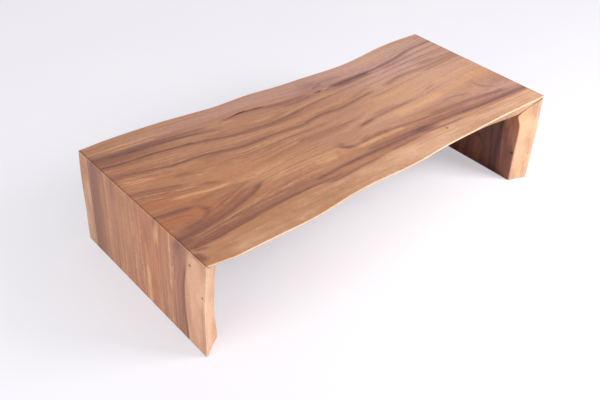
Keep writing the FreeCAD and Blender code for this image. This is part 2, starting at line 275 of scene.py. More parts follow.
# Streaks in the outer face: the points of each, how far it feathers to the back and to the front,
# and how strong it is. The dark ones are mineral-stained rings of the heartwood.
DARK_STREAKS = [
    # Along the back third, from the left foot to the right mitre.
    ([(-.43, .096), (-.28, .096), (-.15, .100), (-.05, .103), (.03, .108)], .012, .030, .50),
    ([(-.03, .108), (.05, .116), (.10, .122), (.18, .126), (.26, .134), (.34, .147), (.41, .151)],
     .007, .022, .45),
    ([(.04, .118), (.08, .128), (.12, .135), (.22, .144), (.32, .160), (.38, .176), (.45, .188)],
     .006, .012, .40),
    ([(0, .145), (.1, .155), (.2, .165), (.3, .180)], .022, .020, .20),
    ([(-.02, .158), (.04, .172), (.10, .180), (.18, .183), (.23, .193), (.30, .203), (.33, .207)],
     .005, .007, .65),
    ([(.27, .200), (.36, .220), (.40, .235), (.45, .248), (.50, .251), (.56, .258), (.60, .262),
      (.66, .258), (.74, .247)], .006, .008, .50),
    ([(.70, .250), (.76, .244), (.85, .236), (.92, .233), (1.0, .232), (1.06, .224),
      (1.13, .228)], .005, .008, .35),
    ([(1.12, .226), (1.2, .221), (1.26, .215), (1.33, .212), (1.5, .206), (1.9, .200)],
     .006, .008, .35),
    # Along the middle.
    ([(-.10, .222), (0, .228), (.06, .240), (.10, .252), (.15, .265), (.20, .278)],
     .006, .010, .42),
    ([(.16, .272), (.21, .279), (.26, .280), (.30, .285), (.34, .295), (.38, .307), (.42, .315),
      (.46, .318), (.54, .320)], .005, .009, .65),
    ([(.50, .319), (.56, .321), (.62, .329), (.68, .333)], .006, .010, .50),
    ([(.66, .332), (.70, .323), (.75, .318), (.79, .319), (.84, .325), (.90, .318), (.96, .307),
      (1.03, .300)], .006, .009, .58),
    ([(.90, .302), (.95, .286), (1.0, .276), (1.04, .274)], .010, .010, .30),
    ([(1.07, .296), (1.10, .294), (1.14, .283), (1.18, .276), (1.25, .279), (1.32, .281),
      (1.40, .275), (1.52, .270)], .010, .014, .42),
    ([(1.27, .303), (1.33, .299), (1.40, .294), (1.5, .288), (1.9, .280)], .006, .008, .38),
    ([(1.29, .257), (1.36, .255), (1.5, .256), (1.9, .250)], .010, .012, .35),
    ([(-.03, .330), (.03, .341), (.06, .348), (.10, .363), (.14, .377), (.18, .390)],
     .009, .012, .45),
    ([(.19, .400), (.23, .420), (.265, .442)], .008, .014, .40),
    ([(.15, .330), (.19, .338), (.225, .347)], .016, .012, .30),
    ([(.26, .305), (.31, .310), (.36, .315)], .020, .020, .30),
    ([(.57, .404), (.60, .399), (.65, .400), (.72, .405), (.80, .411), (.86, .412)],
     .006, .010, .28),
    ([(1.17, .410), (1.2, .402), (1.25, .392)], .007, .010, .32),
    # The oval at the left mitre.
    ([(-.05, .462), (0, .470), (.04, .476), (.08, .481), (.11, .488), (.13, .498)],
     .009, .014, .56),
    ([(.125, .490), (.142, .510), (.148, .525), (.135, .542), (.11, .556), (.07, .562),
      (.02, .565)], .013, .010, .52),
    ([(-.03, .502), (.04, .503), (.085, .512), (.100, .527), (.085, .541), (.03, .548)],
     .004, .004, .32),
    ([(.12, .470), (.18, .470), (.24, .468), (.30, .478), (.33, .486)], .008, .012, .35),
    ([(-.05, .598), (.02, .596), (.08, .592), (.14, .583), (.20, .572), (.25, .555), (.30, .542),
      (.34, .520), (.365, .505)], .016, .006, .60),
    # The tongue in the middle and its two arms.
    ([(.655, .492), (.668, .505), (.685, .520), (.705, .531), (.74, .534)], .012, .007, .60),
    ([(.72, .533), (.76, .529), (.80, .527), (.85, .527), (.90, .531), (.96, .537), (1.02, .545),
      (1.06, .550)], .005, .006, .50),
    ([(.67, .488), (.69, .498), (.70, .510)], .010, .008, .40),
    ([(.745, .520), (.78, .513), (.805, .508)], .005, .007, .35),
    ([(.80, .456), (.83, .450), (.86, .445), (.90, .441)], .006, .009, .70),
    ([(.88, .441), (.93, .437), (.98, .435), (1.04, .433), (1.10, .429)], .008, .010, .38),
    ([(.89, .424), (.94, .418), (1.0, .417), (1.03, .421)], .007, .010, .28),
    ([(1.0, .541), (1.06, .549), (1.10, .555), (1.14, .557), (1.19, .561), (1.24, .560)],
     .004, .005, .40),
    ([(1.05, .543), (1.16, .544), (1.22, .549), (1.28, .557), (1.33, .564), (1.44, .580)],
     .012, .014, .45),
    ([(1.02, .572), (1.12, .577), (1.22, .584), (1.32, .594), (1.42, .601), (1.9, .603)],
     .008, .006, .34),
    ([(.96, .558), (1.06, .565), (1.14, .571), (1.22, .570)], .006, .006, .35),
    ([(.86, .206), (.95, .209), (1.05, .204), (1.15, .197)], .005, .005, .32),
    ([(1.10, .166), (1.20, .152), (1.30, .136), (1.40, .123), (1.6, .116)], .005, .005, .24),
    ([(1.15, .201), (1.25, .192), (1.35, .179), (1.45, .170), (1.6, .167)], .008, .008, .34),
    ([(1.28, .228), (1.40, .222), (1.55, .224)], .010, .010, .28),
    ([(1.33, .320), (1.42, .316), (1.55, .310)], .008, .008, .25),
    ([(.98, .338), (1.08, .332), (1.18, .322), (1.28, .318)], .006, .006, .22),
    ([(.74, .363), (.84, .362), (.94, .352)], .006, .006, .25),
    ([(.52, .362), (.60, .368), (.68, .366), (.76, .372)], .006, .006, .28),
    ([(.40, .372), (.48, .380), (.56, .382)], .008, .008, .25),
    ([(1.15, .510), (1.19, .503), (1.22, .503), (1.26, .514), (1.30, .521)], .010, .007, .35),
    ([(1.26, .565), (1.34, .577), (1.42, .582), (1.52, .590), (1.9, .600)], .016, .014, .26),
    ([(1.385, .450), (1.365, .475), (1.367, .505), (1.39, .530), (1.42, .545)], .010, .010, .36),
    # The wide dark band behind the front sapwood.
    ([(-.43, .590), (-.3, .592), (-.2, .592), (-.1, .600), (0, .612), (.06, .625)],
     .022, .020, .33),
    ([(-.02, .628), (.06, .628), (.14, .622), (.22, .618), (.30, .612), (.38, .610), (.46, .612),
      (.54, .616), (.60, .612), (.70, .612)], .012, .016, .22),
    ([(.11, .618), (.15, .618)], .006, .006, .35),
    ([(-.02, .643), (.04, .647), (.10, .646), (.16, .641), (.20, .639), (.26, .634)],
     .006, .002, .60),
    ([(.26, .632), (.34, .625), (.42, .624), (.48, .625)], .008, .003, .30),
    ([(.50, .636), (.53, .641), (.56, .641), (.60, .637), (.66, .632), (.76, .630)],
     .007, .003, .50),
    ([(.48, .602), (.56, .598), (.62, .594), (.70, .592), (.76, .594), (.82, .595), (.90, .594),
      (.98, .600), (1.04, .606)], .010, .010, .52),
    ([(.72, .575), (.80, .576), (.86, .578), (.92, .580), (.98, .583), (1.02, .586)],
     .010, .008, .50),
    ([(.92, .591), (1.0, .588), (1.06, .588), (1.10, .591), (1.18, .594)], .012, .010, .58),
    ([(1.14, .595), (1.22, .600), (1.30, .606), (1.36, .609), (1.42, .611), (1.52, .616),
      (1.9, .615)], .014, .010, .70),
    ([(.60, .603), (.75, .604), (.90, .603), (1.0, .600)], .025, .020, .24),
    ([(.78, .622), (.84, .621), (.90, .619), (.94, .616)], .006, .006, .45),
    ([(.95, .612), (1.0, .615), (1.05, .621), (1.10, .623), (1.16, .622)], .006, .004, .45),
    ([(1.2, .623), (1.3, .622), (1.5, .626), (1.9, .628)], .003, .003, .35),
    ([(1.17, .637), (1.24, .636), (1.3, .638), (1.38, .638)], .004, .004, .35),
    # The strong stain behind the middle, and the knot that it starts from.
    ([(.62, .160), (.66, .168), (.70, .173), (.76, .176), (.82, .180)], .008, .016, .42),
    ([(.68, .200), (.74, .203), (.79, .198), (.84, .193)], .007, .007, .42),
    ([(.835, .192), (.855, .190), (.875, .189)], .005, .005, .70),
    ([(.845, .170), (.86, .160), (.88, .155), (.895, .165), (.90, .178)], .007, .007, .45),
    ([(.885, .158), (.895, .148), (.905, .138)], .007, .006, .35),
    ([(.88, .194), (.90, .197), (.91, .192)], .004, .004, .60),
    ([(.80, .125), (.86, .120), (.90, .140)], .030, .030, .18),
    ([(.90, .190), (.94, .189), (.98, .187), (1.04, .186), (1.08, .186), (1.12, .184)],
     .014, .016, .70),
    ([(.93, .198), (.98, .203), (1.02, .200)], .010, .010, .40),
    ([(1.08, .186), (1.14, .181), (1.2, .176), (1.25, .168), (1.3, .158), (1.34, .148)],
     .008, .010, .52),
    ([(1.3, .155), (1.34, .147), (1.38, .139), (1.42, .136), (1.52, .134), (1.9, .130)],
     .008, .010, .55),
    ([(1.2, .192), (1.28, .182), (1.35, .174)], .016, .016, .18),
    # Finer lines beside the strong ones.
    ([(0, .120), (.12, .133), (.25, .147), (.36, .165), (.45, .178)], .003, .003, .35),
    ([(.05, .190), (.12, .197), (.20, .203), (.28, .215), (.36, .230)], .003, .003, .25),
    ([(.20, .262), (.28, .268), (.34, .275), (.40, .290)], .003, .003, .28),
    ([(.30, .297), (.36, .307), (.42, .325), (.50, .330)], .004, .004, .35),
    ([(.38, .290), (.44, .300), (.50, .305), (.58, .306)], .004, .004, .32),
    ([(0, .345), (.06, .365), (.12, .385), (.17, .405)], .003, .003, .38),
    ([(.02, .375), (.08, .392), (.14, .410), (.20, .425)], .004, .005, .28),
    ([(.02, .585), (.10, .575), (.18, .555), (.25, .530), (.32, .500)], .004, .004, .40),
    ([(.06, .575), (.14, .560), (.22, .535), (.30, .500)], .004, .004, .34),
    ([(.14, .545), (.20, .525), (.27, .498), (.33, .480)], .005, .004, .38),
    ([(.16, .520), (.22, .503), (.28, .488)], .005, .005, .28),
    ([(0, .637), (.10, .635), (.20, .628), (.32, .620), (.42, .619), (.52, .626), (.60, .624)],
     .004, .004, .45),
    ([(-.01, .647), (.04, .651), (.10, .652), (.15, .648)], .005, .003, .50),
    ([(.04, .612), (.14, .602), (.24, .592), (.34, .585), (.44, .590), (.54, .598)],
     .005, .004, .38),
    ([(.30, .600), (.40, .598), (.50, .604), (.60, .610)], .004, .003, .32),
    ([(.62, .213), (.70, .215), (.78, .212), (.86, .208)], .005, .004, .32),
    ([(.75, .228), (.85, .222), (.95, .218), (1.05, .212)], .003, .003, .28),
    ([(.95, .205), (1.05, .203), (1.15, .198), (1.25, .190)], .004, .004, .32),
    ([(1.0, .262), (1.1, .258), (1.2, .250), (1.3, .245), (1.4, .243)], .004, .005, .32),
    ([(1.15, .172), (1.22, .163), (1.3, .150), (1.36, .138)], .003, .003, .28),
    # The bark pocket in the back third, with a soft stain round it.
    ([(.475, .150), (.505, .149), (.53, .144), (.55, .142), (.565, .147), (.58, .151),
      (.605, .151), (.62, .155), (.64, .160)], .003, .003, 1.0),
    ([(.44, .152), (.50, .150), (.56, .148), (.60, .155), (.65, .165)], .012, .012, .30),
    # In the sapwood: weathering at the left corner, and soft marks.
    ([(-.008, .662), (.006, .676), (.014, .694), (.010, .712)], .013, .013, 1.0),
    ([(.004, .652), (.03, .660), (.06, .668)], .006, .007, .60),
    ([(.06, .690), (.10, .694), (.15, .698)], .008, .010, .25),
    ([(.42, .685), (.47, .690), (.50, .695)], .020, .015, .15),
    ([(.20, .703), (.27, .706), (.33, .710)], .010, .008, .15),
    ([(1.036, .635), (1.048, .635)], .005, .005, .70),
    ([(.10, .668), (.22, .671), (.36, .664)], .005, .005, .16),
    ([(.30, .684), (.42, .688), (.55, .684)], .009, .008, .22),
    ([(.52, .664), (.64, .659), (.80, .662)], .005, .005, .18),
    ([(.60, .690), (.70, .688), (.84, .684)], .004, .006, .14),
    ([(.85, .652), (.97, .650), (1.10, .654)], .004, .004, .22),
    ([(.98, .676), (1.10, .672), (1.20, .674)], .005, .006, .16),
    ([(1.14, .662), (1.28, .659), (1.45, .661)], .003, .004, .26),
    ([(1.20, .648), (1.33, .647), (1.52, .647)], .003, .003, .30),
    ([(1.24, .678), (1.36, .674), (1.52, .676)], .004, .004, .20),
    # Down the left leg.
    ([(-.43, .620), (-.35, .620), (-.30, .617), (-.25, .611), (-.20, .609), (-.15, .611),
      (-.11, .618), (-.08, .624), (-.05, .629)], .010, .003, .65),
    ([(-.43, .557), (-.28, .560), (-.20, .557), (-.15, .562), (-.08, .568), (0, .575)],
     .003, .006, .45),
    ([(-.43, .500), (-.16, .494), (-.10, .495), (-.04, .498), (.02, .500)], .007, .006, .36),
    ([(-.15, .425), (-.12, .418), (-.08, .412), (-.03, .410)], .014, .016, .30),
    ([(-.09, .345), (-.05, .343), (-.02, .342)], .006, .007, .30),
    ([(-.33, .268), (-.25, .268), (-.19, .265), (-.15, .260)], .007, .007, .25),
    ([(-.30, .440), (-.26, .450), (-.22, .455)], .025, .020, .20),
    ([(-.43, .121), (-.28, .123), (-.15, .126), (0, .128)], .003, .003, .40),
    ([(-.43, .084), (-.2, .086), (0, .088)], .003, .004, .45),
    ([(-.34, .145), (-.22, .147), (-.12, .147)], .006, .008, .30),
    ([(-.20, .175), (-.12, .178), (-.02, .177)], .005, .006, .28),
    ([(-.43, .205), (-.30, .207), (-.18, .205)], .008, .008, .25),
    ([(-.26, .240), (-.20, .243), (-.14, .242)], .004, .005, .30),
    ([(-.36, .305), (-.28, .303), (-.20, .308)], .005, .005, .28),
    ([(-.43, .338), (-.36, .339), (-.30, .337)], .004, .004, .40),
    ([(-.10, .372), (-.05, .370), (0, .368)], .006, .006, .30),
    ([(-.24, .388), (-.16, .391), (-.09, .390)], .005, .006, .28),
    ([(-.12, .440), (-.06, .443), (-.01, .441)], .004, .005, .35),
    ([(-.17, .472), (-.11, .474), (-.04, .472)], .003, .004, .45),
    ([(-.43, .512), (-.30, .510), (-.18, .513)], .005, .005, .32),
    ([(-.43, .530), (-.30, .532), (-.15, .531), (-.04, .528)], .003, .003, .35),
    ([(-.43, .575), (-.32, .577), (-.22, .575), (-.12, .580)], .004, .004, .42),
    ([(-.43, .600), (-.33, .598), (-.24, .596), (-.15, .598)], .004, .004, .40),
    ([(-.08, .584), (-.03, .588), (.01, .590)], .006, .007, .45),
    ([(-.34, .699), (-.25, .697), (-.20, .698), (-.13, .703)], .004, .004, .30),
    ([(-.053, .648), (-.047, .648)], .006, .006, .75),
    ([(-.134, .703), (-.126, .703)], .005, .005, .70),
]
PALE_STREAKS = [
    ([(.05, .097), (.10, .102), (.18, .108), (.25, .116)], .006, .005, .35),
    ([(.45, .162), (.475, .164), (.50, .168)], .004, .004, .50),
    ([(.52, .224), (.58, .227), (.64, .226)], .008, .006, .35),
    ([(.62, .245), (.68, .240), (.75, .231), (.82, .225), (.88, .226), (.93, .232)],
     .005, .004, .50),
    ([(0, .260), (.06, .280), (.12, .300)], .025, .025, .30),
    ([(.08, .424), (.13, .434), (.18, .445), (.22, .455), (.29, .457)], .007, .007, .50),
    ([(.10, .388), (.15, .400), (.19, .413)], .004, .004, .45),
    ([(.03, .609), (.08, .606), (.15, .594)], .003, .003, .45),
    ([(.13, .600), (.20, .588), (.27, .577), (.35, .560)], .004, .004, .36),
    ([(.02, .620), (.08, .617), (.14, .611), (.22, .604)], .003, .003, .32),
    ([(.24, .600), (.32, .594), (.40, .598)], .004, .004, .30),
    ([(.20, .188), (.26, .196), (.31, .206), (.36, .217)], .006, .005, .45),
    ([(.20, .372), (.25, .365), (.30, .362)], .012, .010, .25),
    ([(.40, .625), (.48, .626), (.55, .632)], .003, .003, .30),
    ([(.54, .535), (.59, .541), (.64, .545)], .012, .010, .35),
    ([(.35, .470), (.42, .465), (.50, .460)], .012, .012, .25),
    ([(.95, .360), (1.05, .357), (1.15, .354)], .012, .010, .30),
    ([(.95, .470), (1.10, .468), (1.22, .455)], .030, .030, .35),
    ([(.70, .543), (.78, .541), (.85, .538), (.95, .545)], .008, .012, .40),
    ([(.88, .184), (.89, .186), (.905, .188)], .004, .004, .55),
    ([(.38, .530), (.42, .512), (.46, .505)], .010, .008, .30),
    ([(1.19, .505), (1.23, .512), (1.27, .521)], .003, .004, .35),
    ([(.28, .638), (.36, .634), (.44, .631), (.50, .632)], .004, .004, .60),
    ([(.05, .672), (.16, .680), (.28, .676)], .008, .008, .25),
    ([(.95, .619), (1.0, .624), (1.05, .630)], .004, .004, .40),
    ([(1.19, .629), (1.3, .630), (1.45, .632)], .003, .003, .35),
    ([(-.10, .474), (-.05, .475), (.02, .478)], .014, .014, .50),
    ([(-.22, .543), (-.10, .544), (.02, .548)], .005, .005, .50),
    ([(-.43, .412), (-.30, .415), (-.20, .414)], .012, .012, .45),
    ([(-.24, .300), (-.12, .304), (-.04, .300)], .026, .020, .12),
    ([(-.36, .345), (-.28, .344), (-.18, .347)], .006, .006, .32),
    ([(-.43, .278), (-.32, .276), (-.22, .278)], .008, .008, .30),
    ([(-.28, .190), (-.16, .192), (-.06, .190)], .010, .010, .12),
    ([(-.43, .073), (-.30, .074), (-.15, .078), (0, .080)], .003, .003, .40),
    ([(-.43, .520), (-.33, .521), (-.22, .522)], .003, .003, .35),
    ([(-.30, .568), (-.20, .566), (-.08, .556)], .003, .003, .32),
    ([(-.40, .482), (-.30, .483), (-.26, .480)], .008, .008, .30),
]
# A streak thins out to a fifth over this far at its ends, and falls off to its sides as the power
# says. Where two cross, the weaker adds this share to the stronger, up to the most.
STREAK_TAPER = 0.035
STREAK_END = 0.2
STREAK_POWER = 1.5
CROSSING_SHARE = 0.4
STREAK_MOST = 1.2

# Broad patches of lighter or browner wood, of warmer or cooler wood, and of a stronger or weaker
# pale line along the outer arris, which is partly a painted highlight. Place along and across,
# half length, half width and how much.
LIGHT_PATCHES = [
    (0.03, 0.350, 0.10, 0.400, -0.25), (0.32, 0.160, 0.12, 0.030, 0.60),
    (0.33, 0.450, 0.12, 0.080, 0.35), (0.62, 0.605, 0.14, 0.020, 0.5),
    (0.90, 0.155, 0.09, 0.030, -1.9), (0.10, 0.075, 0.35, 0.028, 0.3),
    (0.03, 0.125, 0.25, 0.030, -1.0), (0.20, 0.165, 0.22, 0.025, -0.1),
    (0.12, 0.300, 0.20, 0.030, 0.4), (0.25, 0.555, 0.16, 0.045, -0.4),
    (0.05, 0.600, 0.20, 0.030, -0.7), (0.20, 0.632, 0.40, 0.014, -0.4),
    (0.75, 0.600, 0.35, 0.020, -0.2), (1.20, 0.410, 0.35, 0.050, 0.5),
    (1.46, 0.520, 0.07, 0.040, -0.6), (0.95, 0.460, 0.15, 0.025, 0.5),
    (0.45, 0.490, 0.15, 0.045, 0.3), (0.60, 0.520, 0.10, 0.035, 0.45),
    (1.25, 0.130, 0.25, 0.050, 1.1), (0.30, 0.700, 0.28, 0.060, -0.8),
    (0.04, 0.700, 0.06, 0.060, -0.4), (1.28, 0.300, 0.32, 0.130, 0.7),
    (0.14, 0.708, 0.09, 0.036, 0.65), (0.33, 0.706, 0.13, 0.038, 0.70),
    (0.50, 0.656, 0.12, 0.012, 0.15), (1.33, 0.657, 0.12, 0.016, 0.50),
    (0.70, 0.702, 0.10, 0.016, -0.25), (1.30, 0.682, 0.12, 0.016, 0.15),
    (0.86, 0.680, 0.30, 0.045, 0.45), (1.20, 0.690, 0.14, 0.040, -0.30),
    (1.46, 0.680, 0.12, 0.045, 0.1), (-0.28, 0.100, 0.20, 0.030, -0.5),
    (-0.07, 0.670, 0.11, 0.045, 0.8), (-0.20, 0.670, 0.14, 0.045, 0.1),
    (-0.32, 0.150, 0.06, 0.030, -0.4), (-0.05, 0.060, 0.05, 0.040, -0.5),
    (-0.18, 0.450, 0.10, 0.030, 0.35), (-0.06, 0.300, 0.05, 0.030, -0.4),
]
WARM_PATCHES = [
    (0.06, 0.400, 0.40, 0.220, 0.45), (0.02, 0.525, 0.14, 0.035, 0.36),
    (-0.18, 0.400, 0.15, 0.120, 0.15), (1.25, 0.330, 0.42, 0.330, -0.50),
    (1.30, 0.150, 0.35, 0.080, -0.35), (1.46, 0.600, 0.12, 0.060, -0.50),
    (0.90, 0.130, 0.50, 0.060, -0.45), (0.35, 0.075, 0.40, 0.045, -0.45),
]
ARRIS_PATCHES = [(0.24, 0.735, 0.12, 0.050, 0.35), (0.70, 0.715, 0.32, 0.100, -0.28)]

# The corners of a streak's line are cut off this many times, a quarter of each run at a time.
CORNER_CUTS = 2
# A streak is followed out to this many times its feathering, where nothing of it is left.
STREAK_REACH = 3


def streaks(rows, along, across):
    """How strong the streaks are at each point."""
    strength = np.zeros_like(along)
    for points, back, front, peak in rows:
        line = np.array(points, float)
        for _ in range(CORNER_CUTS):
            first, second = line[:-1], line[1:]
            cut = np.stack([first * .75 + second * .25, first * .25 + second * .75], 1)
            line = np.vstack([line[:1], cut.reshape(-1, 2), line[-1:]])
        margin = STREAK_REACH * max(back, front)
        low, high = line.min(0) - margin, line.max(0) + margin
        near = np.nonzero((along > low[0]) & (along < high[0])
                          & (across > low[1]) & (across < high[1]))[0]
        spots = np.stack([along[near], across[near]], 1)
        steps = np.diff(line, axis=0)
        lengths = np.linalg.norm(steps, axis=1)
        starts = np.concatenate([[0], np.cumsum(lengths)])
        nearest = np.full(len(near), np.inf)
        side = np.zeros(len(near))
        travelled = np.zeros(len(near))
        for start, step, length, travel in zip(line, steps, lengths, starts):
            offset = spots - start
            share = np.clip(offset @ step / length ** 2, 0, 1)
            gap = np.linalg.norm(offset - share[:, None] * step, axis=1)
            closer = gap < nearest
            nearest[closer] = gap[closer]
            side[closer] = (step[0] * offset[:, 1] - step[1] * offset[:, 0])[closer]
            travelled[closer] = travel + share[closer] * length
        width = np.where(side < 0, back, front)
        taper = min(STREAK_TAPER, starts[-1] / 3)
        ends = np.clip(np.minimum(travelled, starts[-1] - travelled) / taper, 0, 1)
        ends = STREAK_END + (1 - STREAK_END) * ends
        value = peak * np.exp(-(nearest / width) ** STREAK_POWER) * ends
        held = strength[near]
        strength[near] = np.maximum(held, value) + CROSSING_SHARE * np.minimum(held, value)
    return np.clip(strength, 0, STREAK_MOST)


def patches(rows, along, across):
    """A sum of soft ovals: place, half length, half width and how much each adds."""
    total = np.zeros_like(along)
    for x, y, long, wide, amount in rows:
        total += amount * np.exp(-((along - x) / long) ** 2 - ((across - y) / wide) ** 2)
    return total


def eased(along, radius):
    """How far a face drops where it is eased into the face at right angles to it."""
    return radius - np.sqrt(np.maximum(radius ** 2 - np.maximum(radius - along, 0) ** 2, 0))


MITRE_EASE = 0.0012
EASED_CORNER = MITRE_EASE * (1 - math.sqrt(.5))
FOOT_EASE = 0.0015

# Stations along a slab and rows across its faces are this far apart, and closer at both ends. The
# inner face has a third of the rows. No even step comes nearer than a share of it to a close one.
STATION_STEP = 0.0066
END_STATIONS = (0.0004, 0.0008, 0.0012, 0.0020, 0.0030, 0.0045)
ROW_STEP = 0.0034
END_ROWS = (0.0015, 0.0035)
ROWS_PER_INNER_ROW = 3
LEAST_STEP_SHARE = 0.35


def spread(length, step, ends, extra):
    """Shares along a length: even steps, closer at both ends and round the extra places."""
    close = [0, 1] + [end / length for end in ends] + [1 - end / length for end in ends]
    close += [place / length for place in extra]
    even = [share for share in np.linspace(0, 1, round(length / step) + 1)
            if min(abs(share - other) for other in close) > LEAST_STEP_SHARE * step / length]
    return np.array(sorted(set(close + even)))


# The sanded face of an edge stands back by about a millimetre, in waves that differ from edge to
# edge. The depth of a row sets where it meets a mitre, so a few rounds settle one by the other.
RIPPLE_DEPTH = 0.0011
RIPPLE_TURNS_PER_METRE = 38
EDGE_SEEDS = (0.0, 1.7)
SETTLING_ROUNDS = 6


def edge_rows(edge, length, mitred, stations, seed):
    """How far along, out and deep each point of a side edge lies. Its ends lie on the planes of
    the mitres, so the depth of each row sets how far along it starts and stops."""
    outer, inner = (edge_reach(edge, length, mitred, which) for which in (False, True))
    deep = np.tile(np.linspace(0, SLAB_THICKNESS, EDGE_STEPS + 1), (len(stations), 1))
    for _ in range(SETTLING_ROUNDS):
        start, end = deep * mitred[0], length - deep * mitred[1]
        along = start + stations[:, None] * (end - start)
        wave = along * RIPPLE_TURNS_PER_METRE + seed
        ripple = RIPPLE_DEPTH * (1 + .5 * np.sin(wave) + .15 * np.sin(6.1 * wave + 2)
                                 + .35 * np.sin(2.3 * wave + 4 * deep / SLAB_THICKNESS))
        out, deep = edge_section(outer(along), inner(along), ripple)
    return along, out, deep


def end_polygons(rim, inside, starts, coarse):
    """The polygons of an end face, from the points round it and the grid of points inside it.
    The last row fans out to the fewer rows of the inner face."""
    front_start, inner_start, back_start = starts
    grid = np.empty((EDGE_STEPS, front_start), int)
    grid[0] = rim[:front_start]
    grid[1:, -1] = rim[front_start:inner_start]
    grid[1:, 0] = rim[back_start:][::-1]
    grid[1:, 1:-1] = inside
    cells = np.stack([grid[:-1, 1:], grid[1:, 1:], grid[1:, :-1], grid[:-1, :-1]], -1)
    cells = cells.reshape(-1, 4).tolist()
    last = rim[inner_start:back_start][::-1]
    for number, (low, high) in enumerate(zip(coarse[:-1], coarse[1:])):
        middle = (low + high) // 2
        cells += [[grid[-1, column], grid[-1, column + 1], last[number + (column >= middle)]]
                  for column in range(low, high)]
        cells.append([grid[-1, middle], last[number + 1], last[number]])
    return cells


def write_values(mesh, title, *columns):
    """Three values for each point of a mesh, which its material reads by their title."""
    made = mesh.attributes.new(title, "FLOAT_VECTOR", "POINT")
    made.data.foreach_set("vector", np.stack(columns, -1).astype(np.float32).ravel())


# The rings curve down to the edges, so below the outer face the figure of the front part, from
# the first place on, shifts to the front, and of the back part, up to the second, to the back.
FRONT_LEAN_FROM = 0.36
BACK_LEAN_UP_TO = 0.40
LEAN_SPAN = 0.24
# The outer face's streaks fade from this depth over this span, and lie a little further back. The
# live edges are lighter from the outer arris down.
FADE_DEPTH = 0.010
FADE_SPAN = 0.050
STREAK_SHIFT = 0.012
LIVE_EDGE_LIGHT = 1.2
LIVE_EDGE_SPAN = 0.010


def write_figure(mesh, board, across, deep, leans, on_outer, turned, details):
    """The figure of the wood at each point of a slab. The live edges follow the sapwood right
    round, so a point on them or on the inner face takes its figure from where its ring meets the
    outer face. An inner face that is seen has streaks of its own."""
    lean_front, lean_back = leans
    lean = np.clip(deep / SLAB_THICKNESS, 0, 1)
    to_front = np.clip((across - FRONT_LEAN_FROM) / LEAN_SPAN, 0, 1) ** 2
    to_back = np.clip((BACK_LEAN_UP_TO - across) / LEAN_SPAN, 0, 1) ** 2
    figured = across + lean * to_front * lean_front - lean * to_back * lean_back
    inward = np.clip((deep - FADE_DEPTH) / FADE_SPAN, 0, 1)
    shifted = figured + STREAK_SHIFT * inward
    dark = streaks(DARK_STREAKS, board, shifted) * (1 - .35 * inward)
    pale = streaks(PALE_STREAKS, board, shifted) * (1 - .5 * inward)
    if details["inner_streaks"]:
        dark = dark * (1 - inward) + turned * streaks(details["inner_streaks"], board, across)
        pale = pale * (1 - inward)
    sapwood = np.maximum(figured - along_line(GROWTH_LINES[-2], board),
                         along_line(details["back_sapwood"], board) - figured)
    live = np.clip((deep - OUTER_ARRIS) / LIVE_EDGE_SPAN, 0, 1) * (1 - turned) * (1 - on_outer)
    light = patches(LIGHT_PATCHES, board, figured) * (1 - inward) + LIVE_EDGE_LIGHT * live
    warm = patches(WARM_PATCHES, board, figured) * (1 - .6 * inward)
    write_values(mesh, "grain", board, growth(board, figured), deep)
    write_values(mesh, "streaks", dark, pale, sapwood)
    write_values(mesh, "tone", light, warm, turned)


# The sanded arris, with a painted highlight along it, is palest along its middle, by this power.
# The glue line of a mitre shows on the outer face just behind the eased corner, and wider on the
# edges and inside, where it is also a painted shadow line; set below 0 it is a painted highlight
# beside the joint.
ARRIS_POWER = 6.0
SEAM_WIDTH = 0.0022
SEAM_INSET = 0.0022
INNER_SEAM_WIDTH = 0.0055
SHARP_FROM = math.radians(35)


